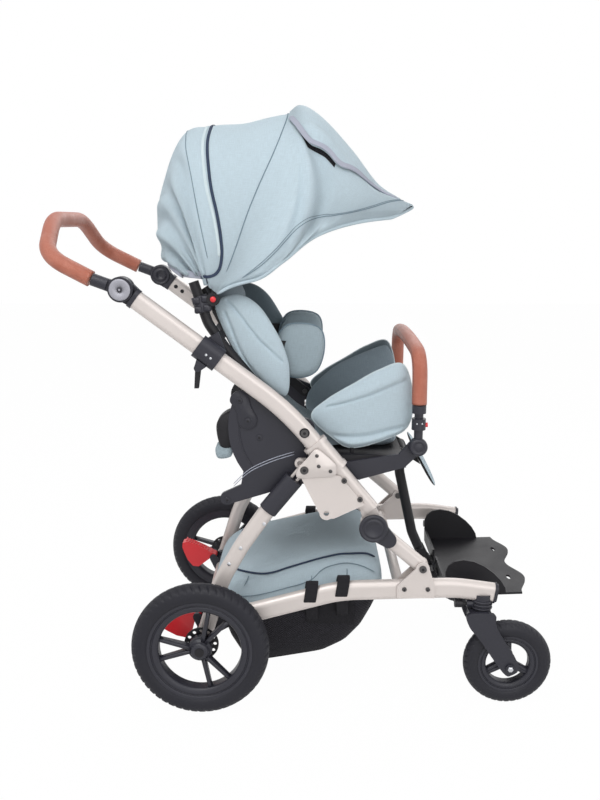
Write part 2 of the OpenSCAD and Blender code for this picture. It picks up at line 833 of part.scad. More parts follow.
// Caster forks, with their stems and axle bolts
module caster_fork(s) {
    shoulder = [stem_x, fork_top];
    blade = smooth_loop([shoulder + [-34, -2], shoulder + [22, -2], shoulder + [30, -36],
        caster_axle + [19, 8], caster_axle + [4, -18], caster_axle + [-16, -10], shoulder + [-6, -64],
        shoulder + [-32, -30]], 4);
    color(dark) on_side(s) {
        translate([stem_x, rail_y, fork_top - 2]) cylinder(r = stem_r, h = rail_z - 4 - fork_top);
        translate([stem_x, rail_y, fork_top - 14]) cylinder(r = 20, h = 14);
        for (k = [-1, 1]) side_plate(rail_y + k * (fork_in + fork_out) / 2 - 4.5,
            rail_y + k * (fork_in + fork_out) / 2 + 4.5) polygon(blade);
        translate([stem_x - 30, rail_y - fork_in - 1, fork_top - 22]) cube([48, 2 * fork_in + 2, 19]);
        cross_pin(caster_axle, pin_r, rail_y - fork_out, rail_y + fork_out);
        for (k = [-1, 1]) let (y = rail_y + k * (fork_out + 2)) cross_pin(caster_axle, 10, y - 2, y + 2);
    }
}

// Side plates of the seat: tilt quadrant, rear arm, pan flange and bumper lug in one moulding
quadrant_r = 165;

module tilt_quadrants() {
    arc = [for (a = [159:7:222]) tilt + quadrant_r * dir(a)];
    arm = [[-175, -145], [-164, -172], [-20, -128], [80, -112], [122, -116], [92, -76], [-15, -70]];
    lug = [[118, -116], [218, -88], [258, -48], [252, -24], [232, -26], [205, -58], [92, -76]];
    color(dark) both_sides() {
        difference() {
            side_plate(side_in, side_out) {
                translate(tilt) circle(22);
                polygon(concat([tilt + 22 * dir(80)], [tilt + [-134, 80]], arc, [tilt + 22 * dir(-70)]));
                translate(tilt + [-137, 62]) circle(19);
                translate(tilt + [-170, -159]) circle(15);
                translate(tilt) polygon([[0, 0], quadrant_r * dir(216), [-140, -134], [0, -90]]);
                translate(tilt) polygon(arm);
                translate(tilt) polygon([[-15, -70], [20, -10], [92, -76]]);
                translate(tilt) polygon(lug);
                translate(bumper_at) circle(16);
            }
            cross_pin(tilt, pin_r + run_gap, side_in - 1, side_out + 1);
        }
        cross_pin(bumper_at, pin_r, side_in, bumper_y + 11);
    }
}

// Seat pan between the side plates, with the hinge of the legrest under its front edge
pan_top = -62;
guard_low = [104, -50];
legrest_pin_r = 5;

module seat_base() {
    pan = [[40, -72], [118, -116], [222, -90], [216, pan_top], [60, pan_top]];
    color(black) {
        side_plate(-side_in, side_in) translate(tilt) polygon(pan);
        both_sides() {
            side_plate(50, 58) {
                translate(legrest_at) circle(9);
                polygon([tilt + [205, -72], tilt + [210, -94], legrest_at - [4, 8], legrest_at + [3, 8]]);
            }
            translate(space(tilt + [guard_low[0], pan_top - 10], guard_out - guard_t / 2))
                cylinder(r = 5, h = guard_low[1] - fit_gap - pan_top + 10);
        }
        cross_pin(legrest_at, legrest_pin_r, -58, 58);
    }
}

// Outline of a cushion whose sides pull in between its corners
function cushion_line(l, w, draw) = [
    for (a = [0:12:348]) let (c = cos(a), s = sin(a), pull = 1 - draw * (1 - pow(sin(2 * a), 2)))
        [l / 2 * sign(c) * pow(abs(c), 0.4), w / 2 * sign(s) * pow(abs(s), 0.4)] * pull
];

module seat_cushion() {
    length = 182;
    low = 12;
    color(lining) translate(space(tilt + [130, pan_top + low + 0.3], 0))
        pad(cushion_line(length, cushion_w, 0.03), cushion_t - low, low);
}

module side_guards() {
    line = smooth_loop([[16, 20], [60, -26], guard_low, [180, -30], [226, 0], [234, 66], [212, 134],
        [160, 122], [104, 90], [48, 56]], 3);
    color(cloth) both_sides() translate(space(tilt, 0)) side_pad(line, guard_out - guard_t, guard_out);
}

// Bumper bar: posts with ferrules on the seat's side plates, leather grip across the front
bumper_r = 13;
ferrule_top = 91;
button_z = 48;

module bumper_posts() {
    color(dark) both_sides() difference() {
        union() {
            cross_pin(bumper_at, 16, side_out + side_gap, bumper_y + 10);
            translate(space(bumper_at, bumper_y)) cylinder(r = 9.5, h = ferrule_top);
            translate(space(bumper_at + [0, 38], bumper_y)) cylinder(r = bumper_r + 2, h = 24);
            translate(space(bumper_at + [0, 74], bumper_y)) cylinder(r = bumper_r + 2, h = ferrule_top - 74);
        }
        cross_pin(bumper_at, pin_r + run_gap, side_out, bumper_y + 12);
        translate(space(bumper_at + [2, button_z], bumper_y)) rotate([0, 90, 0])
            cylinder(r = 5 + run_gap, h = 20);
    }
}

module bumper_grip() {
    x = bumper_at[0];
    z = bumper_at[1];
    path = over_to_right(bent([
        [x, bumper_y, z + ferrule_top + 1.4],
        [x, bumper_y - 6, z + bumper_rise - 14],
        [x - 6, 70, z + bumper_rise + 2],
        [x - 6, 0, z + bumper_rise + 4]], 55, 7));
    color(leather) swept_bar(path, bumper_d / 2, 12, [1, 0, 0]);
}

module bumper_buttons() {
    color(red) both_sides()
        translate(space(bumper_at + [7, button_z], bumper_y)) rotate([0, 90, 0]) cylinder(r = 5, h = 12);
}

// Legrest: a single post on the seat's front hinge, a calf pad and a footplate that flips up
calf_top = tilt + [258, -81];
calf_angle = -61.7;
calf_len = 101;
calf_t = 14;
knuckle_r = 9;

module legrest_post() {
    foot = tilt + [288, -366];
    calf_mid = calf_top + calf_len / 2 * dir(calf_angle) - (calf_t / 2 + 0.3) * left_of(calf_angle);
    color(black) difference() {
        union() {
            cross_pin(legrest_at, 11, -49, 49);
            tube_run([legrest_at - [3, 8], tilt + [231, -158], tilt + [266, -316], foot], 0, 60) circle(12);
            side_plate(-24, 24) polygon([legrest_at + [2, 10], legrest_at + [0, -8],
                calf_mid + 8 * dir(calf_angle), calf_mid - 8 * dir(calf_angle)]);
            both_sides() side_plate(11, 19) {
                translate(foot_hinge) circle(knuckle_r);
                polygon([foot + [-10, 2], foot + [8, 14], foot_hinge + [8, 4], foot_hinge - [8, 4]]);
            }
            cross_pin(foot_hinge, legrest_pin_r, -62, 62);
            cross_pin(foot, 12, -19, 19);
        }
        cross_pin(legrest_at, legrest_pin_r + run_gap, -50, 50);
    }
}

module calf_pad() {
    color(cloth) translate(space(calf_top + calf_len / 2 * dir(calf_angle), 0)) rotate([0, -calf_angle, 0])
        pad(cushion_line(calf_len, 236, 0.04), calf_t / 2, calf_t / 2);
}

foot_t = 5;
foot_tilt = 2;

// Tray with low side walls and a waved front edge
module footplate() {
    half = foot_w / 2;
    wave = [for (k = [-20:20]) [7 + foot_len - 13 * cos(k * 18), k / 20 * (half - 2)]];
    wall = [[12, 0], [152, 0], [150, 12], [140, 30], [124, 48], [102, 66], [78, 78], [54, 83], [34, 80], [20, 70],
        [13, 54]];
    color(dark) translate(space(foot_hinge, 0)) rotate([0, -foot_tilt, 0]) difference() {
        union() {
            translate([0, 0, -foot_t]) linear_extrude(foot_t)
                polygon(concat([[12, half], [12, -half]], wave));
            both_sides() {
                side_plate(half - foot_t, half) polygon(wall);
                cross_pin([0, 0], knuckle_r, 21, 60);
                translate([0, 21, -foot_t]) cube([14, 39, foot_t]);
            }
            side_plate(-half, half) polygon([[12, 0], [17, 0], [17, 30], [12, 30]]);
        }
        cross_pin([0, 0], legrest_pin_r + run_gap, -half, half);
        translate([-20, -20.5, -20]) cube([48, 41, 80]);
        for (y = [-1, 1]) translate([foot_len - 18, y * half / 2, -20]) linear_extrude(30)
            polygon([for (a = [0:20:340]) [5 * cos(a), 12 * sin(a)]]);
    }
}

// Backrest: tubular posts, a stiff shell between them, and the pads on it
back_dir = dir(back_angle);
back_front = [back_dir[1], -back_dir[0]];
shell_len = 292;
shell_t = 10;
post_pts = [tilt + [-88, 74], tilt + [-167, 169], tilt + [-205, 224], tilt + [-234, 312]];

module back_posts() {
    plate_in = guard_out - 9;
    color(black) both_sides() {
        difference() {
            union() {
                cross_pin(tilt, 13, plate_in, guard_out);
                side_plate(plate_in, guard_out) polygon([tilt + [3, 12], tilt - [10, 8], post_pts[0] - [6, 8],
                    post_pts[0] + [8, 10]]);
                cross_pin(post_pts[0], 11, plate_in, guard_out);
            }
            cross_pin(tilt, pin_r + run_gap, plate_in - 1, guard_out + 1);
        }
        tube_run(post_pts, post_y, 70) circle(post_d / 2);
    }
}

module back_shell() {
    half = post_y - post_d / 2 - 0.3;
    neck = 6.5;
    depth = shell_t * back_front;
    low = back_low + 240 * back_dir;
    top = back_low + shell_len * back_dir;
    color(black) {
        side_plate(-half, half) polygon([back_low, low, low - depth, back_low - depth]);
        side_plate(neck - half, half - neck) polygon([back_low, top, top - depth, back_low - depth]);
        both_sides() side_plate(bracket_in, bracket_in + 5)
            translate(tilt) polygon([[-164, 190], [-146, 148], [-24, 140], [-20, 180]]);
    }
}

module on_shell(s) {
    translate(space(back_low + s * back_dir + 0.3 * back_front, 0)) rotate([0, 180 - back_angle, 0])
        children();
}

module back_cushion() {
    length = 205;
    low = 8;
    color(lining) on_shell(96) translate([0, 0, low])
        pad(cushion_line(length, back_w, 0.03), back_t - low, low);
}

module head_pad() {
    low = 8;
    color(cloth) on_shell(254) translate([0, 0, low]) pad(cushion_line(96, 236, 0.05), 50, low);
}

module side_wings() {
    line = smooth_loop([[-148, 286], [-180, 259], [-131, 156], [-76, 92], [-44, 66], [-35, 122], [-50, 176],
        [-72, 220], [-102, 262]], 3);
    wing_in = bracket_in + 5.5;
    color(cloth) both_sides() translate(space(tilt, 0)) side_pad(line, wing_in, guard_out - 7);
}

module lateral_pads() {
    line = smooth_loop([[-2, 232], [-46, 216], [-64, 164], [-52, 116], [-14, 97], [24, 114], [41, 159],
        [33, 208]], 3);
    color(lining) both_sides() translate(space(tilt, 0)) side_pad(line, bracket_in - 34, bracket_in - 0.3);
}

// Hood: clamps on the posts, spring hoops on their pivots, and the cloth over them
hood_half = hood_w / 2;
post_angle = heading(post_pts[2], post_pts[3]);
clamp_post = post_pts[2] + 44 * dir(post_angle);
hood_eye_t = 5;
hood_eye_out = hood_half - hood_t - run_gap;
hood_eye_in = hood_eye_out - hood_eye_t;
hood_pin_r = 5;

module hood_clamps() {
    u = dir(post_angle);
    color(dark) both_sides() {
        tube_run([clamp_post - 17 * u, clamp_post + 17 * u], post_y, 1) difference() {
            circle(post_d / 2 + 6);
            circle(post_d / 2 + fit_gap);
        }
        difference() {
            side_plate(post_y + 4, hood_eye_in - side_gap) {
                translate(hood_at) circle(12);
                polygon([clamp_post + [4, -14], clamp_post + [-4, 14], hood_at + [0, 12], hood_at - [0, 12]]);
            }
            tube_run([clamp_post - 40 * u, clamp_post + 40 * u], post_y, 1) circle(post_d / 2 + 5);
        }
        cross_pin(hood_at, hood_pin_r, post_y + 4, hood_eye_out);
    }
}

// The hood as a fan of arches on its pivot: angle and reach of the top, of the side edge, half width
hood_fan = [[24, 468, 24, 408, 152], [34, 425, 31, 252, 182], [48, 428, 28, 165, 196], [64.5, 445, 25, 92, 201],
    [69, 415, 45, 20, 204], [80, 380, 62, 16, 205], [92, 362, 85, 18, 205], [104, 350, 105, 28, 204],
    [120, 264, 108, 47, 203], [132, 192, 126, 62, 200], [142, 124, 141, 80, 197]];
function fan_at(t) = let (m = len(hood_fan) - 1, i = min(floor(t), m - 1))
    smooth_point(hood_fan[max(i - 1, 0)], hood_fan[i], hood_fan[i + 1], hood_fan[min(i + 2, m)], t - i);
function arch_point(f, a, inset) = let (
        h = pow(sin(a), 0.7),
        wide = f[4] + hood_half - 205 - inset,
        reach = f[3] + (f[1] - inset - f[3]) * h,
        p = hood_at + reach * dir(f[2] + (f[0] - f[2]) * h))
    space(p, wide * sign(cos(a)) * pow(abs(cos(a)), 0.62));

// Path of one hoop, just inside the cloth, from the left pivot to the right one
function hoop_path(f) = let (
        inset = hood_t + 8,
        span = f[1] - f[3],
        foot = hood_eye_out - 2)
    over_to_right(bent([
        space(hood_at + 9 * dir(f[0]), foot),
        space(hood_at + (f[3] + 0.62 * span) * dir(f[0]), 0.87 * f[4]),
        space(hood_at + (f[3] + 0.96 * span - inset) * dir(f[0]), 0.45 * f[4]),
        space(hood_at + (f[1] - inset) * dir(f[0]), 0)], 48, 6));

module hood_hoops() {
    color(steel) {
        for (t = [4, 6]) let (f = fan_at(t)) swept_bar(hoop_path(f), 3, 8, space(left_of(f[0]), 0));
        both_sides() difference() {
            cross_pin(hood_at, 14, hood_eye_in, hood_eye_out);
            cross_pin(hood_at, hood_pin_r + run_gap, hood_eye_in - 1, hood_eye_out + 1);
        }
    }
}

module hood_fabric() {
    rows = 20;
    cols = 16;
    function skin(inset) = [for (i = [0:rows], k = [0:cols])
        arch_point(fan_at(i * (len(hood_fan) - 1) / rows), 180 * k / cols, inset)];
    points = concat(skin(0), skin(hood_t));
    w = cols + 1;
    n = (rows + 1) * w;
    function quad(a, b, c, d) = [[a, b, c], [a, c, d]];
    faces = [
        for (i = [0:rows - 1], k = [0:cols - 1]) let (a = i * w + k) each concat(
            quad(a, a + 1, a + w + 1, a + w), quad(n + a, n + a + w, n + a + w + 1, n + a + 1)),
        for (i = [0:rows - 1]) let (a = i * w, b = i * w + cols) each concat(
            quad(a, a + w, n + a + w, n + a), quad(b, n + b, n + b + w, b + w)),
        for (k = [0:cols - 1]) let (b = rows * w + k) each concat(
            quad(k, n + k, n + k + 1, k + 1), quad(b, b + 1, n + b + 1, n + b))
    ];
    color(cloth) polyhedron(points, faces, convexity = 8);
}

base_rails();
cross_tubes();
rail_end_caps();
axle_castings();
rear_axle();
fold_brackets();
bracket_bolts();
caster_collars();
brake_housings();
basket();
basket_straps();
fold_struts();
hub_covers();
hub_pins();
main_tubes();
tube_collars();
gussets();
frame_bolts();
tube_clamps();
handle_joints();
clamp_levers();
rear_legs();
leg_sleeves();
tyre(axle, wheel_y, rear_r, rear_tyre_w, rear_rim_r);  // rear_tyre_l
tyre(axle, -wheel_y, rear_r, rear_tyre_w, rear_rim_r);  // rear_tyre_r
rear_rim(1);  // rear_rim_l
rear_rim(-1);  // rear_rim_r
brake_disc(1);  // brake_disc_l
brake_disc(-1);  // brake_disc_r
caster_fork(1);  // caster_fork_l
caster_fork(-1);  // caster_fork_r
tyre(caster_axle, rail_y, front_r, front_tyre_w, front_rim_r);  // front_tyre_l
tyre(caster_axle, -rail_y, front_r, front_tyre_w, front_rim_r);  // front_tyre_r
front_rim(1);  // front_rim_l
front_rim(-1);  // front_rim_r
swivel_locks();
brake_pedal(1);  // brake_pedal_l
brake_pedal(-1);  // brake_pedal_r
handle_arms();
handle_grip();
seat_base();
tilt_quadrants();
seat_cushion();
side_guards();
bumper_posts();
bumper_grip();
bumper_buttons();
legrest_post();
calf_pad();
footplate();
back_posts();
back_shell();
back_cushion();
side_wings();
head_pad();
lateral_pads();
hood_clamps();
hood_hoops();
hood_fabric();
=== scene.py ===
import bmesh
import bpy
import numpy as np
from mathutils import Matrix


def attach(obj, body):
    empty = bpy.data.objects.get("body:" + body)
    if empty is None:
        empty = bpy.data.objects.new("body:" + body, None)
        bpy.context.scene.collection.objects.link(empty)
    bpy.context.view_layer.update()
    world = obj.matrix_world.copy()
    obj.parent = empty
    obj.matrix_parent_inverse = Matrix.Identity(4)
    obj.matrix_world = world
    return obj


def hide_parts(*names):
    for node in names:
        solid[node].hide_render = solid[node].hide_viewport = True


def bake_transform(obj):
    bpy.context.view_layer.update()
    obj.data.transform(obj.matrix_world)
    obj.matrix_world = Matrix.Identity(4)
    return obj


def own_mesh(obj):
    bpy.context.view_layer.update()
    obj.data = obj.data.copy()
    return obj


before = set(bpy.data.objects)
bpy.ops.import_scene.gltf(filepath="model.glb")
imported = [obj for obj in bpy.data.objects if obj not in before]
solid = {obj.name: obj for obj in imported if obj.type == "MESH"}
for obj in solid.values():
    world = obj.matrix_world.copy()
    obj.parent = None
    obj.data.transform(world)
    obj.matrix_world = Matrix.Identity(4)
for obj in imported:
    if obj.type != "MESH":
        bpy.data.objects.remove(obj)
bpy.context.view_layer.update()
scene = bpy.context.scene
scene.view_settings.view_transform = "Standard"

# ---------------------------------------------------------------------------
# Studio: the camera stands level with the handle on the buggy's right side and
# looks a little down on it, over a pale floor under soft overhead light.
CAMERA_AT = np.array([0.0, -1.911, 1.06])
CAMERA_DOWN, CAMERA_TURN = np.radians(12.3), np.radians(-0.4)
CAMERA_LENS = 36.675


def looking(position, forward):
    """World matrix of a camera or lamp at position whose view runs along forward, with +Z up."""
    f = np.asarray(forward, float) / np.linalg.norm(forward)
    right = np.cross(f, (0, 0, 1.0))
    right /= np.linalg.norm(right)
    up = np.cross(right, f)
    rows = np.column_stack([right, up, -f, position])
    return Matrix([list(row) for row in rows] + [[0, 0, 0, 1]])


camera = bpy.data.objects.new("camera", bpy.data.cameras.new("camera"))
camera.data.lens = CAMERA_LENS
camera.data.sensor_width = 36.0
camera.data.clip_end = 50
camera.matrix_world = looking(CAMERA_AT, (
    np.sin(CAMERA_TURN) * np.cos(CAMERA_DOWN), np.cos(CAMERA_TURN) * np.cos(CAMERA_DOWN), -np.sin(CAMERA_DOWN)))
scene.collection.objects.link(camera)
scene.camera = camera

# lamp name: place, power in watts, width of the soft box in metres
LAMPS = {"key": ((-1.0, -1.9, 3.3), 74, 2.2), "fill": ((1.2, -3.0, 1.5), 33, 2.2),
         "back": ((0.5, 2.4, 2.6), 34, 2.0), "front": ((2.9, 0.6, 1.5), 14, 1.6)}
for name, (at, power, width) in LAMPS.items():
    lamp = bpy.data.objects.new(name + "_lamp", bpy.data.lights.new(name + "_lamp", "AREA"))
    lamp.data.energy = power
    lamp.data.size = width
    lamp.matrix_world = looking(at, np.array([-0.05, 0, 0.6]) - at)
    scene.collection.objects.link(lamp)


def place(tree, kind, inputs=(), **values):
    """Adds one node and sets its properties and inputs; an input may be a number or another node's output."""
    made = tree.nodes.new("ShaderNode" + kind)
    for key, value in values.items():
        if hasattr(made, key) and key not in made.inputs:
            setattr(made, key, value)
        else:
            made.inputs[key.replace("_", " ")].default_value = value
    for socket, value in dict(inputs).items():
        if isinstance(value, bpy.types.NodeSocket):
            tree.links.new(value, made.inputs[socket])
        else:
            made.inputs[socket].default_value = value
    return made


def reckon(tree, operation, *inputs):
    """Output of one Math node over numbers and other nodes' outputs."""
    return place(tree, "Math", dict(enumerate(inputs)), operation=operation).outputs[0]


def seen_directly(tree):
    """1 for rays from the camera, from mirrors and through glass, 0 for light that falls on things."""
    rays = place(tree, "LightPath").outputs
    direct = reckon(tree, "MAXIMUM", rays["Is Camera Ray"], rays["Is Glossy Ray"])
    return reckon(tree, "MAXIMUM", direct, rays["Is Transmission Ray"])


AMBIENT, FLOOR_GLOW, FLOOR_HALF = 0.46, 0.985, 9
world = bpy.data.worlds.new("studio")
scene.world = world
world.use_nodes = True
tree = world.node_tree
sky = tree.nodes["Background"]
sky.inputs["Color"].default_value = (1, 1, 1, 1)
level = place(tree, "MapRange", {"Value": seen_directly(tree)}, To_Min=AMBIENT)
tree.links.new(level.outputs["Result"], sky.inputs["Strength"])

floor_mesh = bpy.data.meshes.new("floor")
floor_mesh.from_pydata([(x * FLOOR_HALF, y * FLOOR_HALF, 0) for x, y in ((-1, -1), (1, -1), (1, 1), (-1, 1))], [],
                       [(0, 1, 2, 3)])
floor = bpy.data.objects.new("floor", floor_mesh)
scene.collection.objects.link(floor)
floor_paint = bpy.data.materials.new("floor_paint")
floor_paint.use_nodes = True
tree = floor_paint.node_tree
matt = tree.nodes["Principled BSDF"]
matt.inputs["Base Color"].default_value = (0.86, 0.86, 0.86, 1)
matt.inputs["Roughness"].default_value = 0.9
share = reckon(tree, "MULTIPLY", seen_directly(tree), FLOOR_GLOW)
blend = place(tree, "MixShader", {"Fac": share, 1: matt.outputs["BSDF"],
                                  2: place(tree, "Emission").outputs["Emission"]})
tree.links.new(blend.outputs["Shader"], tree.nodes["Material Output"].inputs["Surface"])
floor_mesh.materials.append(floor_paint)

# ---------------------------------------------------------------------------
# Painted tubes: bent aluminium tube and pressed plates, powder coated in a satin
# champagne with a fine metallic flake and the faint orange peel of such paint.


def linear(red, green, blue):
    """Colour as seen on a screen, 0 to 255, made the linear colour that a shader takes."""
    c = np.array([red, green, blue]) / 255
    c = np.where(c > 0.04045, ((c + 0.055) / 1.055) ** 2.4, c / 12.92)
    return (*c.tolist(), 1.0)


def finish(name, colour, roughness, **sockets):
    """Material with one Principled shader; constant values go straight onto its sockets."""
    material = bpy.data.materials.new(name)
    material.use_nodes = True
    shader = material.node_tree.nodes["Principled BSDF"]
    shader.inputs["Base Color"].default_value = linear(*colour)
    shader.inputs["Roughness"].default_value = roughness
    for socket, value in sockets.items():
        shader.inputs[socket.replace("_", " ")].default_value = value
    return material


def effect(name, inputs, outputs):
    """Empty shader node group with named sockets; returns its tree, what it is given and what it gives."""
    group = bpy.data.node_groups.new(name, "ShaderNodeTree")
    for side, sockets in (("INPUT", inputs), ("OUTPUT", outputs)):
        for label, kind in sockets.items():
            group.interface.new_socket(label, in_out=side, socket_type="NodeSocket" + kind)
    return group, group.nodes.new("NodeGroupInput").outputs, group.nodes.new("NodeGroupOutput").inputs


def give(group, result, **outputs):
    """Joins nodes' outputs to the outputs of an effect."""
    for label, socket in outputs.items():
        group.links.new(socket, result[label])


def use_effect(material, group, values, bump, uv=False):
    """Puts an effect group into a material: its Colour drives Base Color, its Roughness drives Roughness,
    and its Height goes through a Bump node of the given depth in metres to Normal."""
    tree = material.node_tree
    shader = tree.nodes["Principled BSDF"]
    box = place(tree, "Group", node_tree=group)
    for label, value in values.items():
        box.inputs[label].default_value = value
    where = place(tree, "TexCoord")
    tree.links.new(where.outputs["UV" if uv else "Object"], box.inputs["Vector"])
    for output, socket in (("Colour", "Base Color"), ("Roughness", "Roughness")):
        if output in box.outputs:
            tree.links.new(box.outputs[output], shader.inputs[socket])
    relief = place(tree, "Bump", {"Height": box.outputs["Height"]}, Distance=bump)
    tree.links.new(relief.outputs["Normal"], shader.inputs["Normal"])


# Surface of a moulded or painted part: fine grain, slow colour drift and uneven gloss.
surface, given, result = effect(
    "fine_surface",
    {"Vector": "Vector", "Colour": "Color", "Grain": "Float", "Drift": "Float", "Gloss": "Float",
     "Unevenness": "Float"},
    {"Colour": "Color", "Roughness": "Float", "Height": "Float"})
fine = place(surface, "TexNoise", {"Vector": given["Vector"], "Scale": given["Grain"]}, Detail=3.0,
             Roughness=0.6).outputs["Fac"]
slow = place(surface, "TexNoise", {"Vector": given["Vector"]}, Scale=9.0, Detail=4.0, Roughness=0.55)
centred = place(surface, "MapRange", {"Value": slow.outputs["Fac"]}, From_Min=0.3, From_Max=0.7,
                To_Min=-1.0).outputs["Result"]
speck = place(surface, "MapRange", {"Value": fine}, From_Min=0.3, From_Max=0.7, To_Min=-0.5,
              To_Max=0.5).outputs["Result"]
lift = reckon(surface, "MULTIPLY_ADD", reckon(surface, "ADD", centred, speck), given["Drift"], 1.0)
tint = place(surface, "HueSaturation", {"Color": given["Colour"], "Value": lift})
gloss = reckon(surface, "MULTIPLY_ADD", centred, given["Unevenness"], given["Gloss"])
give(surface, result, Colour=tint.outputs["Color"], Roughness=gloss, Height=fine)


def moulded(name, colour, gloss, grain, drift, uneven, depth, **sockets):
    """Painted or moulded finish: roughness, grains per metre, drift of the colour, unevenness of the roughness,
    and depth of the grain in metres."""
    material = finish(name, colour, gloss, **sockets)
    use_effect(material, surface, {"Colour": linear(*colour), "Grain": grain, "Drift": drift, "Gloss": gloss,
                                   "Unevenness": uneven}, depth)
    return material


def coat(material, *names):
    """Gives CAD nodes a finish."""
    for name in names:
        mesh = solid[name].data
        mesh.materials.clear()
        mesh.materials.append(material)


champagne_paint = moulded("champagne_paint", (200, 192, 188), 0.44, 900.0, 0.035, 0.05, 0.00006, Metallic=0.32,
                          Coat_Weight=0.15, Coat_Roughness=0.3)
coat(champagne_paint, "base_rails", "cross_tubes", "fold_brackets", "main_tubes", "gussets", "rear_legs",
     "fold_struts", "tube_collars")

# ---------------------------------------------------------------------------
# Mouldings: glass-filled nylon castings, covers and caps with a spark-eroded grain,
# slate grey on the frame and nearly black under the seat; bolts in steel.
slate_moulding = moulded("slate_moulding", (41, 41, 49), 0.4, 1400.0, 0.06, 0.07, 0.00022, Specular_IOR_Level=0.36)
black_moulding = moulded("black_moulding", (23, 22, 26), 0.5, 1100.0, 0.08, 0.08, 0.00025, Specular_IOR_Level=0.32)
bright_steel = moulded("bright_steel", (196, 198, 202), 0.28, 700.0, 0.05, 0.08, 0.00004, Metallic=1.0)
dark_steel = moulded("dark_steel", (84, 82, 82), 0.36, 700.0, 0.05, 0.08, 0.00004, Metallic=0.8)
red_moulding = moulded("red_moulding", (208, 34, 43), 0.38, 800.0, 0.05, 0.06, 0.00012, Coat_Weight=0.2)
STEEL_NODES = {"bracket_bolts", "frame_bolts", "hub_pins"}
BLACK_NODES = {"clamp_levers", "swivel_locks", "seat_base", "back_shell", "legrest_post", "back_posts",
               "brake_disc_l", "brake_disc_r", "hood_hoops", "rear_axle", "footplate"}
for name in solid:
    if name in STEEL_NODES:
        coat(dark_steel, name)
    elif name in BLACK_NODES:
        coat(black_moulding, name)
    elif name.startswith("brake_pedal") or name == "bumper_buttons":
        coat(red_moulding, name)
    elif not solid[name].data.materials or solid[name].data.materials[0] != champagne_paint:
        coat(slate_moulding, name)

# ---------------------------------------------------------------------------
# Wheels: foam-filled rubber tyres with slanted tread blocks on moulded nylon rims,
# two 12 inch wheels on the rear axle and two 7.5 inch ones in the caster forks.


def skin(name, p, around=False, along=False, inner_from=None):
    """Mesh of quads over a grid of points in millimetres, rows by columns. around joins the last column to the
    first, along the last row to the first, and rows that shrink to a point are welded. The UV map is the arc
    length in metres down the rows and across the columns. Faces from row inner_from on take material slot 1."""
    p = np.asarray(p, float) / 1000
    n, m = p.shape[:2]
    row = np.arange(n if along else n - 1)[:, None]
    col = np.arange(m if around else m - 1)[None]
    corners = [(row + a + 0 * col, col + b + 0 * row) for a, b in ((0, 0), (1, 0), (1, 1), (0, 1))]
    faces = np.stack([(r % n) * m + c % m for r, c in corners], -1).reshape(-1, 4)
    down = np.linalg.norm(np.diff(p, axis=0, append=p[:1]), axis=2).mean(1).cumsum()
    across = np.linalg.norm(np.diff(p, axis=1, append=p[:, :1]), axis=2).mean(0).cumsum()
    down, across = np.r_[0, down], np.r_[0, across]
    uv = np.stack([np.stack([down[r], across[c]], -1) for r, c in corners], -2)
    mesh = bpy.data.meshes.new(name)
    mesh.from_pydata(p.reshape(-1, 3).tolist(), [], faces.tolist())
    mesh.uv_layers.new(name="run").data.foreach_set("uv", uv.ravel())
    if inner_from is not None:
        slots = np.broadcast_to(row >= inner_from, (len(row), col.shape[1])).astype(np.int32)
        mesh.polygons.foreach_set("material_index", slots.ravel())
    piece = bpy.data.objects.new(name, mesh)
    scene.collection.objects.link(piece)
    return close_up(piece)


def close_up(piece):
    """Welds the points that fall together, turns all faces outwards and shades the piece smooth."""
    work = bmesh.new()
    work.from_mesh(piece.data)
    bmesh.ops.remove_doubles(work, verts=work.verts, dist=2e-5)
    bmesh.ops.recalc_face_normals(work, faces=work.faces)
    work.to_mesh(piece.data)
    work.free()
    piece.data.shade_smooth()
    return piece


def together(name, parts):
    """One piece from several closed shells, which keep their material slots' order."""
    work = bmesh.new()
    for part in parts:
        work.from_mesh(part.data)
    mesh = bpy.data.meshes.new(name)
    work.to_mesh(mesh)
    work.free()
    for material in parts[0].data.materials:
        mesh.materials.append(material)
    for part in parts:
        bpy.data.objects.remove(part)
    mesh.shade_smooth()
    piece = bpy.data.objects.new(name, mesh)
    scene.collection.objects.link(piece)
    return piece


def cubic(a, b, c, d, t):
    """Catmull-Rom cubic that runs from b to c as t runs from 0 to 1, with a before and d after them."""
    return 0.5 * (2 * b + (c - a) * t + (2 * a - 5 * b + 4 * c - d) * t ** 2 + (3 * b - a - 3 * c + d) * t ** 3)


def rounded(points, per=6, closed=True):
    """Smooth curve through points: a Catmull-Rom cubic between each two, per steps long."""
    q = np.asarray(points, float)
    ahead = lambda k: np.roll(q, -k, 0) if closed else q[np.clip(np.arange(len(q)) + k, 0, len(q) - 1)]
    t = np.linspace(0, 1, per, endpoint=False)[None, :, None]
    curve = cubic(*(ahead(k)[:, None] for k in (-1, 0, 1, 2)), t).reshape(-1, q.shape[1])
    return curve if closed else np.vstack([curve[:len(curve) - per], q[-1:]])


def turned(name, profile, axle, steps=120, cut=None):
    """Loop of (radius, y) points turned round the axle; cut(angle, radius, y) is taken off the radius."""
    angle = np.linspace(0, 2 * np.pi, steps, endpoint=False)[:, None]
    radius, y = np.asarray(profile, float).T[:, None]
    radius = radius - (cut(angle, radius, y) if cut else 0 * angle)
    p = np.stack([axle[0] + radius * np.cos(angle), axle[1] + y + 0 * angle, axle[2] + radius * np.sin(angle)], -1)
    return skin(name, p, around=True, along=True)


def squared(angle, power):
    """Cosine and sine of an angle, each with its size raised to a power: points of a superellipse."""
    return (np.sign(f(angle)) * np.abs(f(angle)) ** power for f in (np.cos, np.sin))


def paint(piece, *materials):
    """Fills the material slots of a piece in order."""
    for material in materials:
        piece.data.materials.append(material)
    return piece


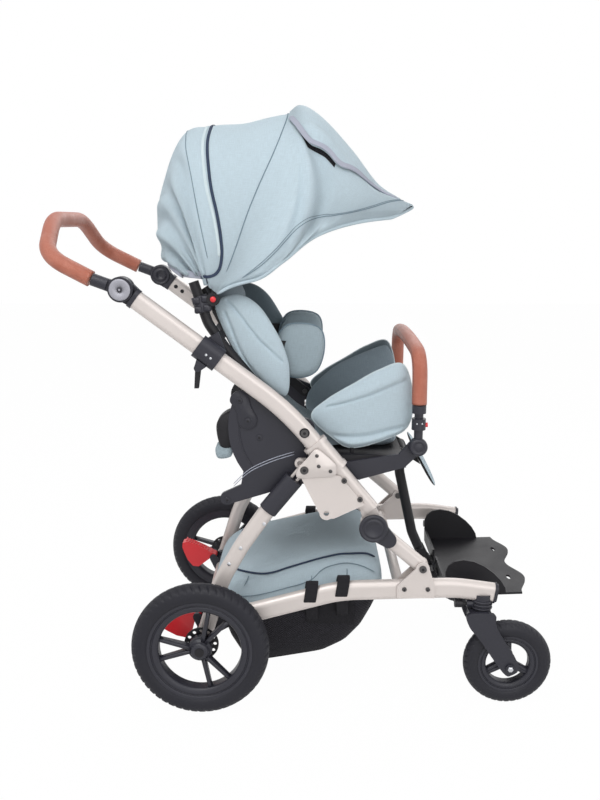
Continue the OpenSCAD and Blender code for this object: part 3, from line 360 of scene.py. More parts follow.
def dress(piece, body, node=None, materials=()):
    """Gives a piece its materials and the body it rides on, and hides the CAD node it stands for."""
    paint(piece, *materials)
    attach(piece, body)
    if node:
        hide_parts(node)
    return piece


def tread(blocks, crown, depth, slant):
    """Cut of the tread: slanted grooves on both shoulders between blocks, and a shallow groove either side of
    the middle. A groove is where the cosine round the wheel, shifted across the tyre, nears 1."""
    def cut(angle, radius, y):
        on_crown = np.clip((radius - crown) / 4, 0, 1)
        shoulder = np.clip((np.abs(y) - 6) / 3, 0, 1) * on_crown
        wave = np.cos(blocks * angle + slant * np.abs(y) + np.where(y > 0, np.pi, 0))
        middle = 0.9 * np.exp(-((np.abs(y) - 5.5) / 1.1) ** 2) * on_crown
        return depth * shoulder * np.clip((wave - 0.45) / 0.3, 0, 1) + middle
    return cut


def bar(name, start, end, wide, deep, across, power=3.0, rows=5):
    """Bar with a rounded square section between two points: half widths along across and square to it run from
    the first to the second value of wide and deep, and the section is a superellipse of the given power."""
    start, end = np.asarray(start, float), np.asarray(end, float)
    t = np.r_[0, np.linspace(0, 1, rows), 1][:, None, None]
    size = np.r_[0, np.ones(rows), 0][:, None]
    run = (end - start) / np.linalg.norm(end - start)
    side = across - run * np.dot(across, run)
    side = side / np.linalg.norm(side)
    c, s = squared(np.linspace(0, 2 * np.pi, 20, endpoint=False), 2 / power)
    w = size * (wide[0] + (wide[1] - wide[0]) * t[..., 0]) * c
    d = size * (deep[0] + (deep[1] - deep[0]) * t[..., 0]) * s
    middle = start + (end - start) * t
    return skin(name, middle + w[..., None] * side + d[..., None] * np.cross(run, side), around=True)


SIDES = ((1, "l"), (-1, "r"))
tyre_rubber = moulded("tyre_rubber", (30, 30, 37), 0.58, 650.0, 0.1, 0.1, 0.0003, Specular_IOR_Level=0.3)
REAR_TYRE = [(114, -17), (117, -21), (124, -23), (135, -22.4), (143.5, -18.5), (148.5, -11), (150.6, -4), (150.6, 4),
             (148.5, 11), (143.5, 18.5), (135, 22.4), (124, 23), (117, 21), (114, 17), (113, 6), (113, -6)]
FRONT_TYRE = [(66, -13), (68, -16.5), (74, -18.6), (83, -18.6), (91, -15.5), (96, -9), (97.6, -3.5), (97.6, 3.5),
              (96, 9), (91, 15.5), (83, 18.6), (74, 18.6), (68, 16.5), (66, 13), (65, 5), (65, -5)]
REAR_RIM = [(117, -16), (117, 16), (113, 18.6), (108.5, 18.2), (107, 15.4), (104.5, 15.4), (103, 17.6), (97, 17),
            (91.5, 13.5), (90, 8), (90, -8), (91.5, -13.5), (97, -17), (108, -18), (113, -18.6)]
FRONT_RIM = [(68, -13), (68, 13), (65.5, 15.2), (62.5, 15), (61.5, 12.6), (59.5, 12.6), (58, 14.4), (53, 13.4),
             (49, 10), (48, 5), (48, -5), (49, -10), (53, -13.4), (62, -15), (65.5, -15.2)]
REAR_HUB = [(0, 21), (8, 21.4), (16.5, 20), (19.6, 16.5), (20.2, 12), (24, 10.5), (26.5, 7), (26.5, -11),
            (22, -15.5), (0, -15.5)]
FRONT_HUB = [(0, 16), (8, 16), (14, 15), (17, 11), (17, -11), (14, -15), (0, -15)]
# spoke: (radius, degrees, y) of its inner and its outer end, half widths, half depths
REAR_SPOKES = [((18, m + 9 * lean, 2), (95, m + 15 * lean, 4), (5.6, 4.8), (11, 8.5))
               for m in (62, 180, 298) for lean in (-1, 1)]
FRONT_SPOKES = [spoke for m in (90, 208, 332) for spoke in (
    ((10, m, 0), (52, m, 0), (10, 8), (8.5, 9.5)), ((12, m, 9), (51, m, 9), (2.2, 2.0), (2.4, 2.4)))]
# wheel: name, body, axle (x, y, z), tyre, its steps and tread, rim and its steps, hub and its steps, spokes
WHEELS = [("rear", "rear_wheel_", (-229.0, 287.0, 151.0), REAR_TYRE, 520, tread(52, 138, 2.4, 0.16), REAR_RIM, 132,
           REAR_HUB, 72, REAR_SPOKES),
          ("front", "caster_wheel_", (452.0, 244.0, 98.0), FRONT_TYRE, 400, tread(40, 87, 1.8, 0.2), FRONT_RIM, 108,
           FRONT_HUB, 48, FRONT_SPOKES)]


def on_wheel(axle, side, radius, degrees, y):
    """Point of a wheel at a radius and an angle round its axle, y outside its middle plane."""
    a = np.radians(degrees)
    return np.array([axle[0] + radius * np.cos(a), axle[1] + side * y, axle[2] + radius * np.sin(a)])


for side, tag in SIDES:
    flip = np.array([1, side])
    for end, body, (x, y, z), tyre, steps, cuts, rim, rim_steps, hub, hub_steps, spokes in WHEELS:
        axle = (x, side * y, z)
        dress(turned(end + "_tyre_rubber_" + tag, rounded(tyre, 4) * flip, axle, steps, cuts), body + tag,
              end + "_tyre_" + tag, [tyre_rubber])
        shells = [paint(turned("ring", rounded(rim, 3) * flip, axle, rim_steps), slate_moulding),
                  turned("hub", np.array(hub) * flip, axle, hub_steps)]
        for inner, outer, wide, deep in spokes:
            a = np.radians(outer[1])
            shells.append(bar("spoke", on_wheel(axle, side, *inner), on_wheel(axle, side, *outer), wide, deep,
                              np.array([-np.sin(a), 0, np.cos(a)])))
        dress(together(end + "_rim_moulding_" + tag, shells), body + tag, end + "_rim_" + tag)

# ---------------------------------------------------------------------------
# Basket: a sewn bag under the seat with a stuffed cover, melange cloth above the rails and black
# mesh below, with a navy piped S line and quilted pockets on its sides, hung on webbing.

# Cloth: warp and weft threads that cross, their colour flecked as in melange yarn.
woven, given, result = effect(
    "woven_threads",
    {"Vector": "Vector", "Colour": "Color", "Threads": "Float", "Fleck": "Float"},
    {"Colour": "Color", "Height": "Float"})
apart = place(woven, "SeparateXYZ", {"Vector": given["Vector"]}).outputs
waves = []
for axis in ("X", "Y"):
    turns = reckon(woven, "MULTIPLY", apart[axis], given["Threads"])
    waves.append(reckon(woven, "SINE", reckon(woven, "MULTIPLY", turns, 2 * np.pi)))
crossing = reckon(woven, "MULTIPLY", *waves)
flecks = []
for stretch in ((60, 900, 60), (900, 60, 60)):
    along = place(woven, "VectorMath", {0: given["Vector"], 1: stretch}, operation="MULTIPLY")
    flecks.append(place(woven, "TexNoise", {"Vector": along.outputs[0]}, Scale=1.0, Detail=2.0).outputs["Fac"])
fleck = reckon(woven, "SUBTRACT", reckon(woven, "ADD", *flecks), 1.0)
mottle = reckon(woven, "MULTIPLY_ADD", crossing, 0.4, fleck)
shade = reckon(woven, "MULTIPLY_ADD", mottle, given["Fleck"], 1.0)
tint = place(woven, "HueSaturation", {"Color": given["Colour"], "Value": shade})
give(woven, result, Colour=tint.outputs["Color"], Height=reckon(woven, "ADD", crossing, fleck))


def cloth(name, colour, threads, fleck, depth, roughness=0.85, **sockets):
    """Woven cloth finish: threads per metre, fleck of its yarn and depth of its weave in metres."""
    material = finish(name, colour, roughness, Specular_IOR_Level=0.2, **sockets)
    use_effect(material, woven, {"Colour": linear(*colour), "Threads": threads, "Fleck": fleck}, depth, uv=True)
    return material


def ribbon(name, path, size, up=(0.0, 1.0, 0.0), closed=False, sides=10, power=2.0, taper=0):
    """Section carried along a path: at each point an ellipse, or a superellipse of the given power, with half
    sizes size[0] square to up and size[1] along up stands across the path's own direction. With taper the
    ends shrink to a point over that many steps; otherwise they are closed flat."""
    path = np.asarray(path, float)
    run = np.roll(path, -1, 0) - np.roll(path, 1, 0) if closed else np.gradient(path, axis=0)
    run /= np.linalg.norm(run, axis=1, keepdims=True)
    side = np.cross(run, np.broadcast_to(up, path.shape))
    side /= np.linalg.norm(side, axis=1, keepdims=True)
    lift = np.cross(side, run)
    c, s = squared(np.linspace(0, 2 * np.pi, sides, endpoint=False), 2 / power)
    size = np.broadcast_to(np.asarray(size, float), (len(path), 2)).copy()
    if taper:
        step = np.minimum(np.arange(len(path)), np.arange(len(path))[::-1]) / taper
        size *= np.sqrt(np.clip(step, 0, 1))[:, None]
    p = path[:, None] + (size[:, :1] * c)[..., None] * side[:, None] + (size[:, 1:] * s)[..., None] * lift[:, None]
    if not closed and not taper:
        p = np.concatenate([path[:1, None] + 0 * p[:1], p, path[-1:, None] + 0 * p[-1:]])
    return skin(name, p, around=True, along=closed)


def gap_to(line, points):
    """Distance of points in a plane from a smooth line through the given points."""
    line = rounded(line, 10, closed=False)
    return np.sqrt(((points[..., None, :] - line) ** 2).sum(-1).min(-1))


def crease(line, points, height, width):
    """Bell-shaped relief along a line: height times e to the minus square of the distance over the width."""
    return height * np.exp(-(gap_to(line, points) / width) ** 2)


def thicken(piece, thickness, offset=-1, lining=0):
    """Gives cloth its thickness in metres; its inner side takes the material slot lining places further on."""
    thick = piece.modifiers.new("thickness", "SOLIDIFY")
    thick.thickness, thick.offset, thick.material_offset = thickness, offset, lining


def between(low, high, share):
    """Value that runs from low at a share of -1 to high at 1."""
    return (low + high) / 2 + (high - low) / 2 * share


blue_cloth = cloth("blue_cloth", (189, 206, 215), 620.0, 0.22, 0.00035, Sheen_Weight=0.12)
# a copy of the blue cloth made a little darker, as painted shade for the shadow the seat casts on the basket
painted_shade_blue = cloth("painted_shade_blue", (184, 201, 210), 620.0, 0.22, 0.00035, Sheen_Weight=0.12)
navy_piping = cloth("navy_piping", (58, 68, 88), 900.0, 0.15, 0.0002)
seam_thread = cloth("seam_thread", (128, 146, 158), 900.0, 0.2, 0.0002)
mesh_cloth = cloth("mesh_cloth", (36, 35, 40), 180.0, 1.9, 0.0012, roughness=0.7)
webbing = cloth("webbing", (40, 39, 43), 480.0, 0.3, 0.0007, roughness=0.75)
# (z, x) of the rear and the front wall, from the shoulder down to the belly's edge
BASKET_REAR = [(196, -221), (184, -210), (158, -196), (112, -180), (72, -158), (52, -124)]
BASKET_FRONT = [(242, 181), (214, 171), (186, 158), (146, 137), (110, 106), (86, 66)]
(REAR_TOP, REAR_END), (FRONT_TOP, FRONT_END) = BASKET_REAR[0], BASKET_FRONT[0]
BASKET_HALF, SHOULDER_HALF, CORNER = 196.0, 195.0, 0.28
CROWN, CROWN_TILT = 93, 22
# sewn lines as (x, z) on the upright side; SLOPE is how they fall as they run in over the cover
S_LINE = [(-168, 294), (-153, 289), (-107, 283), (-75, 286), (-42, 297), (0, 310), (37, 321), (76, 330), (101, 332),
          (140, 332), (163, 322)]
QUILT_LINES = [
    [(-216, 238), (-180, 230), (-114, 233), (-42, 251), (11, 269), (43, 297), (89, 310), (128, 304), (160, 288)],
    [(-140, 254), (-134, 266), (-130, 278)], [(13, 258), (14, 269), (15, 281)], [(95, 298), (95, 287), (94, 276)]]
SLOPE = 0.345


def basket_cover(along, across):
    """Height of the stuffed cover over a point given as shares of the half length and the half width: the
    sloping shoulder plus a crown times the root of 1 - s^4, where s is the point's superellipse radius."""
    s = (np.abs(along) ** (2 / CORNER) + np.abs(across) ** (2 / CORNER)) ** (CORNER / 2)
    return between(REAR_TOP, FRONT_TOP, along) + (CROWN + CROWN_TILT * along) * np.sqrt(np.clip(1 - s ** 4, 0, 1))


def quilted(x, y, z):
    """Relief of the cover: the sewn lines pinch the cloth in where they run over it."""
    drawn = np.stack([x, z + SLOPE * (BASKET_HALF - np.abs(y))], -1)
    return crease(S_LINE, drawn, -4.5, 8) - sum(crease(line, drawn, 3.5, 6) for line in QUILT_LINES)


turn = np.linspace(0, 2 * np.pi, 144, endpoint=False)
lengthways, sideways = squared((turn - 0.16 * np.sin(4 * turn))[None], CORNER)
h = np.linspace(0, 1, 29)[:, None]
level = np.linspace(0, 1, len(BASKET_REAR))
rear_z, rear_x = (np.interp(h, level, np.array(BASKET_REAR)[:, k]) for k in (0, 1))
front_z, front_x = (np.interp(h, level, np.array(BASKET_FRONT)[:, k]) for k in (0, 1))
y = (SHOULDER_HALF - 26 * np.clip((h - 0.2) / 0.8, 0, 1) ** 2) * sideways
walls = np.stack([between(rear_x, front_x, lengthways), y, between(rear_z, front_z, lengthways)], -1)
s = np.sin(np.linspace(0, np.pi / 2, 34))[:-1, None]
x, y = between(REAR_END, FRONT_END, lengthways * s), SHOULDER_HALF * sideways * s
z = basket_cover(lengthways * s, sideways * s)
ripple = 2.5 * np.sin(x / 31 + 1) * np.sin(y / 40) * (1 - s)
cover = np.stack([x, y, z + quilted(x, y, z) + ripple], -1)
inward = np.linspace(1, 0, 13)[1:, None, None] ** 1.4
centre = walls[-1].mean(0)
belly = centre + (walls[-1] - centre) * inward
belly[..., 2] -= 7 * (1 - inward[..., 0] ** 2) + 2.5 * np.sin(belly[..., 0] / 21) * (1 - inward[..., 0])
basket = skin("basket_bag", np.concatenate([cover, walls, belly]), around=True, inner_from=len(cover) + 1)
thicken(basket, 0.003)
# the cover and upper walls wear the darkened copy of the blue cloth, a painted shade; the black mesh is the bag's own
dress(basket, "chassis", "basket", [painted_shade_blue, mesh_cloth])

piping, seams = [], []
inset = np.linspace(0, SHOULDER_HALF, 300)[None]
for line in [S_LINE] + QUILT_LINES:
    flat = rounded(line, 8, closed=False)
    along = np.clip((2 * flat[:, :1] - REAR_END - FRONT_END) / (FRONT_END - REAR_END), -0.985, 0.985)
    rise = basket_cover(along, inset / SHOULDER_HALF) + SLOPE * (BASKET_HALF - inset)
    on_y = inset[0][np.abs(rise - flat[:, 1:]).argmin(1)]
    on_z = np.where(flat[:, 1] < rise[:, -1], flat[:, 1], flat[:, 1] - SLOPE * (BASKET_HALF - on_y)) - 1.5
    for side, tag in SIDES:
        path = np.stack([flat[:, 0], side * (on_y + 1), on_z], -1)
        if line is S_LINE:
            piping.append(paint(ribbon("line", path, (2.3, 2.3), sides=8, taper=3), navy_piping))
        else:
            seams.append(paint(ribbon("line", path, (1.0, 1.3), sides=8, taper=3), seam_thread))
trims = [dress(together("basket_piping", piping), "chassis"),
         dress(together("basket_seams", seams), "chassis")]
for piece in trims + [basket]:
    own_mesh(piece)

# Webbing loops: flat black straps over the rails, sewn to a patch on the basket's side.
RAIL_Y, LOOP_HALF_W, LOOP_HALF_H, STRAP = 244.0, 15.2, 24.7, (1.1, 13.5)
loops = []
for side, tag in SIDES:
    for middle, rail_z in ((12, 262), (81, 276)):
        c, s = squared(np.linspace(0, 2 * np.pi, 40, endpoint=False), 0.8)
        path = np.stack([middle + 0.16 * s * 22, side * (RAIL_Y + LOOP_HALF_W * c), rail_z + LOOP_HALF_H * s], -1)
        loops.append(ribbon("loop", path, STRAP, up=(1, 0, 0), closed=True, sides=12, power=5))
        t = np.linspace(0, 1, 14)[:, None]
        start, end = np.array([middle, side * 229, rail_z - 18]), np.array([middle + 4, side * 196.5, rail_z - 92])
        path = start + (end - start) * t + np.array([0, side * 5, 0]) * np.sin(np.pi * t) * 0.6
        path[:, 1] = np.maximum(np.abs(path[:, 1]), 198.5) * side
        loops.append(ribbon("tail", path, STRAP, up=(1, 0, 0), sides=12, power=5))
    down, along_rail = np.meshgrid(np.linspace(224, 160, 12), np.linspace(5, 112, 10), indexing="ij")
    patch_y = side * (1.6 + np.interp(down, [150, 175, 200, 225], [189, 193, 195, 196.5]))
    loops.append(skin("patch", np.stack([along_rail, patch_y, down], -1)))
paint(loops[0], webbing)
dress(together("basket_webbing", loops), "chassis", "basket_straps")

# ---------------------------------------------------------------------------
# Push handle: one tan leather sleeve round a bent tube, sewn along its inner side,
# between dark ferrules; the bumper bar further on wears the same leather.

# Leather: pebbled grain with creases, colour rubbed lighter on the pebbles, and a line of stitches at one
# place round the sleeve.
hide, given, result = effect(
    "leather_grain",
    {"Vector": "Vector", "Colour": "Color", "Rubbed": "Color", "Thread": "Color", "Pebbles": "Float",
     "Seam": "Float"},
    {"Colour": "Color", "Roughness": "Float", "Height": "Float"})
MIX_A, MIX_B, MIX_OUT = 6, 7, 2
pebble = place(hide, "TexVoronoi", {"Vector": given["Vector"], "Scale": given["Pebbles"]},
               feature="DISTANCE_TO_EDGE")
grain = place(hide, "MapRange", {"Value": pebble.outputs["Distance"]}, From_Max=0.22).outputs["Result"]
cloudy = place(hide, "TexNoise", {"Vector": given["Vector"]}, Scale=28.0, Detail=5.0, Roughness=0.6)
patch = place(hide, "MapRange", {"Value": cloudy.outputs["Fac"]}, From_Min=0.35, From_Max=0.7).outputs["Result"]
worn = place(hide, "Mix", {"Factor": reckon(hide, "MULTIPLY", grain, patch), MIX_A: given["Colour"],
                           MIX_B: given["Rubbed"]}, data_type="RGBA")
apart = place(hide, "SeparateXYZ", {"Vector": given["Vector"]}).outputs
off_seam = reckon(hide, "ABSOLUTE", reckon(hide, "SUBTRACT", apart["Y"], given["Seam"]))
near_seam = place(hide, "MapRange", {"Value": off_seam}, From_Min=0.0006, From_Max=0.0011, To_Min=1.0, To_Max=0.0)
dash = reckon(hide, "LESS_THAN", reckon(hide, "FRACT", reckon(hide, "MULTIPLY", apart["X"], 210.0)), 0.62)
stitch = reckon(hide, "MULTIPLY", near_seam.outputs["Result"], dash)
sewn = place(hide, "Mix", {"Factor": stitch, MIX_A: worn.outputs[MIX_OUT], MIX_B: given["Thread"]},
             data_type="RGBA")
rough = place(hide, "MapRange", {"Value": patch}, To_Min=0.46, To_Max=0.34)
give(hide, result, Colour=sewn.outputs[MIX_OUT], Roughness=rough.outputs["Result"],
     Height=reckon(hide, "MULTIPLY_ADD", stitch, grain, grain))

TAN = (166, 92, 70)
tan_leather = finish("tan_leather", TAN, 0.4, Specular_IOR_Level=0.55)
use_effect(tan_leather, hide, {"Colour": linear(*TAN), "Rubbed": linear(190, 122, 102), "Thread": linear(96, 52, 40),
                               "Pebbles": 620.0, "Seam": 0.08}, 0.0004, uv=True)


def bent_path(corners, cut, steps=12):
    """Straight runs between corners, each corner rounded by a quadratic curve that starts and ends cut away."""
    q = np.asarray(corners, float)
    ahead = np.diff(q, axis=0)
    ahead /= np.linalg.norm(ahead, axis=1, keepdims=True)
    t = np.linspace(0, 1, steps)[None, :, None]
    corner = q[1:-1][:, None]
    start, end = (q[1:-1] - cut * ahead[:-1])[:, None], (q[1:-1] + cut * ahead[1:])[:, None]
    curves = (1 - t) ** 2 * start + 2 * t * (1 - t) * corner + t ** 2 * end
    return np.vstack([q[:1], curves.reshape(-1, 3), q[-1:]])


def even(path, step):
    """The same path with its points a fixed step apart."""
    far = np.r_[0, np.linalg.norm(np.diff(path, axis=0), axis=1).cumsum()]
    at = np.linspace(0, far[-1], int(far[-1] / step) + 1)
    return np.stack([np.interp(at, far, path[:, k]) for k in range(3)], -1)


# grip: name, body, corners of its left half, how far a corner is cut, radius, direction of the seam
GRIPS = [("handle", "push_handle", [(-436.8, 244, 947.8), (-528.4, 236, 994.2), (-544.4, 118, 1066.2)], 46, 17.0,
          (0.35, 0, 0.94)),
         ("bumper", "bumper", [(241.9, 218, 682), (241.9, 212, 786), (235.9, 70, 802)], 52, 16.0, (1, 0, 0))]
for name, body, half, cut, radius, up in GRIPS:
    half = np.array(half)
    path = even(bent_path(np.vstack([half, half[::-1] * (1, -1, 1)]), cut), 5)
    dress(ribbon(name + "_leather", path, (radius, radius), up=up, sides=40), body, name + "_grip",
          [tan_leather])

# ---------------------------------------------------------------------------
# Seat: foam cushion and two padded side guards between the seat's side plates, melange
# cloth outside and slate lining inside, piped round the edge and sewn with darts.
TILT = np.array([-2.085, 626.065])


def points_of(mesh):
    """Corners of a mesh in metres, one row each."""
    at = np.zeros(len(mesh.vertices) * 3)
    mesh.vertices.foreach_get("co", at)
    return at.reshape(-1, 3)


def lay_flat(mesh, ex, ey):
    """Lays the UV map of a pad as its cloth is seen square on: metres along ex and along ey."""
    corner = np.zeros(len(mesh.loops), int)
    mesh.loops.foreach_get("vertex_index", corner)
    at = points_of(mesh)[corner]
    layer = mesh.uv_layers.get("run") or mesh.uv_layers.new(name="run")
    layer.data.foreach_set("uv", np.column_stack([at @ ex, at @ ey]).ravel())


def cushion(name, loop, origin, ex, ey, out, front, back, relief=None, rings=18, power=2.8):
    """Closed pad over an outline: rings of the outline shrink towards its middle by s, and stand out from it by
    the crown times the root of 1 - s to the power, in front and behind. relief(points) is added in front."""
    mid = loop.mean(0)
    s = np.sin(np.linspace(0, np.pi / 2, rings))
    s = np.r_[s, s[-2::-1]][:, None]
    flat = mid + (loop - mid) * s[..., None]
    crown = np.sqrt(np.clip(1 - s ** power, 0, 1))
    ahead = (np.arange(len(s)) < rings)[:, None]
    height = np.where(ahead, front * crown, -back * crown)
    if relief:
        height = height + np.where(ahead, relief(flat) * np.clip((1 - s) * 8, 0, 1), 0)
    ex, ey, out = (np.asarray(v, float) for v in (ex, ey, out))
    p = np.asarray(origin, float) + flat[..., :1] * ex + flat[..., 1:] * ey + height[..., None] * out
    pad = skin(name, p, around=True, inner_from=rings - 1)
    lay_flat(pad.data, ex, ey)
    return pad


def cushion_outline(length, width, draw, n=96):
    """Rounded rectangle whose sides pull in between the corners: a superellipse, scaled down where it faces
    along or across."""
    a = np.linspace(0, 2 * np.pi, n, endpoint=False)
    c, s = squared(a, 0.4)
    pull = 1 - draw * (1 - np.sin(2 * a) ** 2)
    return np.stack([length / 2 * c, width / 2 * s], -1) * pull[:, None]


def upright(points, y):
    """Points (x, z) of the side plane stood at y."""
    return np.stack([points[:, 0], 0 * points[:, 0] + y, points[:, 1]], -1)


def piped(name, loop, y, radius, material, body):
    """Cord sewn into the edge of a pad, carried round its outline, which is drawn about the tilt axis."""
    cord = ribbon(name, upright(TILT + loop, y), (radius, radius), closed=True, sides=8)
    dress(cord, body, materials=[material])


def settled(piece):
    """Mesh of a piece as its modifiers leave it; they are then taken off."""
    graph = bpy.context.evaluated_depsgraph_get()
    mesh = bpy.data.meshes.new_from_object(piece.evaluated_get(graph))
    piece.modifiers.clear()
    return mesh


def puff(piece, ex, ey, voxel=0.005, cap=0.006, pressure=4.0, frames=20):
    """Blows a pad up as filled cloth: remeshed, swollen by Blender's cloth under pressure without gravity, no
    point moved further than cap, then smoothed by one subdivision."""
    bpy.context.view_layer.objects.active = piece
    remesh = piece.modifiers.new("remesh", "REMESH")
    remesh.mode, remesh.voxel_size = "VOXEL", voxel
    mesh = settled(piece)
    for material in piece.data.materials:
        if material.name not in mesh.materials:
            mesh.materials.append(material)
    piece.data = mesh
    rest = points_of(mesh)
    swell = piece.modifiers.new("swell", "CLOTH")
    swell.settings.use_pressure = True
    swell.settings.uniform_pressure_force = pressure
    swell.settings.effector_weights.gravity = 0
    swell.point_cache.frame_end = frames
    for step in range(1, frames + 1):
        scene.frame_set(step)
    move = points_of(settled(piece)) - rest
    scene.frame_set(1)
    far = np.linalg.norm(move, axis=1, keepdims=True)
    move *= np.minimum(1, cap / np.maximum(far, 1e-9))
    mesh.vertices.foreach_set("co", (rest + move).ravel())
    mesh.shade_smooth()
    lay_flat(mesh, np.asarray(ex, float), np.asarray(ey, float))
    smooth = piece.modifiers.new("smooth", "SUBSURF")
    smooth.levels = smooth.render_levels = 1
    return piece


def stuffed(piece, body, node=None, materials=()):
    """Dresses a pad: gives it its materials and its body, and hides the CAD node it stands for."""
    dress(piece, body, node, materials)


def channels(*places):
    """Relief of a cushion that is sewn down along channels across it."""
    return lambda q: sum(crease([(at, -130), (at, 0), (at, 130)], q, -5, 6) for at in places)


slate_lining = cloth("slate_lining", (108, 122, 130), 640.0, 0.3, 0.0004, Sheen_Weight=0.15)
padded_lining = cloth("padded_lining", (142, 157, 167), 640.0, 0.3, 0.0004, Sheen_Weight=0.15)
padded_blue = cloth("padded_blue", (160, 176, 184), 620.0, 0.3, 0.0004, Sheen_Weight=0.12)
light_piping = cloth("light_piping", (203, 217, 222), 900.0, 0.12, 0.0002)
ALONG, ACROSS, UP = (1, 0, 0), (0, 1, 0), (0, 0, 1)

# Seat cushion with two sewn channels across it.
seat_pad = cushion("seat_pad", cushion_outline(178, 290, 0.03), (TILT[0] + 130, 0, TILT[1] - 49.7), ALONG, ACROSS, UP,
                   36, 10, channels(-28, 34))
stuffed(puff(paint(seat_pad, padded_lining), ALONG, ACROSS), "seat", "seat_cushion")

# Side guards: outlines about the tilt axis, but sewn lines and linings as (x, z) in the side plane.
GUARD = np.array([[16, 20], [60, -26], [104, -50], [180, -30], [226, 0], [234, 66], [212, 134], [160, 122], [104, 90],
                  [48, 56]], float)
DART = np.array([(49, 670), (85, 679), (132, 694), (175, 711), (226, 733)]) - TILT
ROLL_TOP = np.array([(56, 604), (100, 603), (144, 607), (188, 619), (228, 625)]) - TILT
ROLL_MIDDLE = np.array([(66, 588), (100, 587), (144, 592), (188, 606), (222, 616)]) - TILT
TUCK = np.array([(150, 574), (175, 583), (205, 598)]) - TILT
GUARD_LINING = [(4, 586), (4, 620), (26, 655), (78, 700), (136, 729), (196, 752), (214, 744), (228, 706), (226, 640),
                (180, 592), (100, 580), (40, 574)]
GUARD_Y, GUARD_EDGE_Y, LINING_Y = 178, 179, 157


def guard_relief(q):
    """The dart's groove below a soft ridge, and a bolster roll along the bottom under its own groove."""
    return (crease(DART, q, -5, 3.2) + crease(DART + (0, 14), q, 3.5, 11) + crease(ROLL_TOP, q, -6, 5)
            + crease(ROLL_MIDDLE, q, 7, 9) + crease(TUCK, q, -4, 3))


loop, lining_loop = rounded(GUARD, 14), rounded(GUARD_LINING, 10)
for side, tag in SIDES:
    guard = cushion("side_guard_" + tag, loop, (TILT[0], side * GUARD_Y, TILT[1]), ALONG, UP, (0, side, 0), 17.5, 17,
                    guard_relief, 40, 3.6)
    stuffed(guard, "seat", "side_guards", [blue_cloth, slate_lining])
    piped("side_guard_piping_" + tag, loop, side * GUARD_EDGE_Y, 2.0, light_piping, "seat")
    inside = cushion("side_guard_lining_" + tag, lining_loop, (0, side * LINING_Y, 0), ALONG, UP, (0, -side, 0), 9, 6,
                     rings=32, power=3.0)
    stuffed(inside, "seat", materials=[padded_lining])

# Calf pad: a thin flap, light in front and black behind.
CALF_TOP, CALF_ANGLE = TILT + (258, -81), np.radians(-61.7)
run = np.array([np.cos(CALF_ANGLE), 0, np.sin(CALF_ANGLE)])
face = np.array([-np.sin(CALF_ANGLE), 0, np.cos(CALF_ANGLE)])
middle = CALF_TOP + 50.5 * run[[0, 2]]
calf = cushion("calf_flap", cushion_outline(99, 232, 0.04), (middle[0], 0, middle[1]), run, ACROSS, face, 7.2, 6.6)
stuffed(calf, "legrest", "calf_pad", [blue_cloth, webbing])

# ---------------------------------------------------------------------------
# Backrest: foam back cushion, a deep head pad, two lateral supports and two padded
# side wings sewn from three panels each, all zipped onto the shell between the posts.
BACK_LOW = TILT + (-78, 39)
BACK_RUN, BACK_OUT = np.array([-0.46, 0, 0.888]), np.array([0.888, 0, 0.46])
# pad: name, CAD node, slot, outline, place up the shell, crown, fill, relief, power of its crown
BACK_PADS = [
    ("back_pad", "back_cushion", "lining", cushion_outline(200, 278, 0.03), 96, 34, 0.7, channels(-20, 45), 2.8),
    ("head_rest", "head_pad", "cloth", cushion_outline(92, 230, 0.05), 254, 44, 0.8, None, 2.2)]
for name, node, slot, loop, high, crown, fill, relief, power in BACK_PADS:
    origin = np.array([BACK_LOW[0], 0, BACK_LOW[1]]) + high * BACK_RUN + 8 * BACK_OUT
    pad = cushion(name, loop, origin, BACK_RUN, ACROSS, BACK_OUT, crown, 7, relief, power=power)
    stuffed(puff(paint(pad, padded_lining), BACK_RUN, ACROSS), "backrest", node)

WING = np.array([[-153, 284], [-183, 272], [-190, 246], [-148, 156], [-100, 104], [-42, 64], [-33, 122], [-46, 174],
                 [-68, 217], [-94, 256], [-124, 279]], float)
WING_SEAMS = [np.array([(-168, 898), (-149, 878), (-127, 849), (-98, 813), (-72, 788), (-52, 768)]) - TILT,
              np.array([(-172, 873), (-159, 839), (-144, 799), (-122, 756), (-100, 728)]) - TILT]
LATERAL = np.array([[-4, 218], [-46, 209], [-65, 164], [-54, 113], [-14, 97], [26, 112], [43, 159], [36, 204]], float)
WING_Y, LATERAL_Y = 169.5, 131
wing_relief = lambda q: sum(crease(seam, q, -5.5, 3.4) for seam in WING_SEAMS)
wing_loop, pad_loop = rounded(WING, 16), rounded(LATERAL, 14)
inner_loop = pad_loop * 0.99 + pad_loop.mean(0) * 0.01
for side, tag in SIDES:
    wing = cushion("side_wing_" + tag, wing_loop, (TILT[0], side * WING_Y, TILT[1]), ALONG, UP, (0, side, 0), 19, 19,
                   wing_relief, 36, 3.0)
    stuffed(wing, "backrest", "side_wings", [blue_cloth, slate_lining])
    support = cushion("lateral_support_" + tag, inner_loop, (TILT[0], side * LATERAL_Y, TILT[1]), ALONG, UP,
                      (0, side, 0), 19.5, 19.5, rings=32, power=4.0)
    puff(paint(support, padded_blue), ALONG, UP, cap=0.003)
    stuffed(support, "backrest", "lateral_pads")
    piped("lateral_piping_" + tag, pad_loop, side * LATERAL_Y, 1.6, seam_thread, "backrest")

# Seat liner: one strip of lining sewn to the seat's rear edge and to the foot of the back, slack over the hinge.
liner_top, liner_low, liner_sag = np.array([-73.0, 668]), np.array([46.0, 573]), np.array([-42.0, 597])
u, v = np.linspace(0, 1, 22)[:, None], np.linspace(-1, 1, 31)[None]
wave = 1.6 * np.sin(7 * v) * np.sin(np.pi * u)
profile = [(1 - u) ** 2 * a + 2 * u * (1 - u) * c + u ** 2 * b for a, c, b in zip(liner_top, liner_sag, liner_low)]
liner = skin("seat_liner", np.stack([profile[0] + wave, v * (136 - 5 * np.sin(np.pi * u)), profile[1] + wave], -1))
thicken(paint(liner, slate_lining), 0.003, offset=0)
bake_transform(liner)

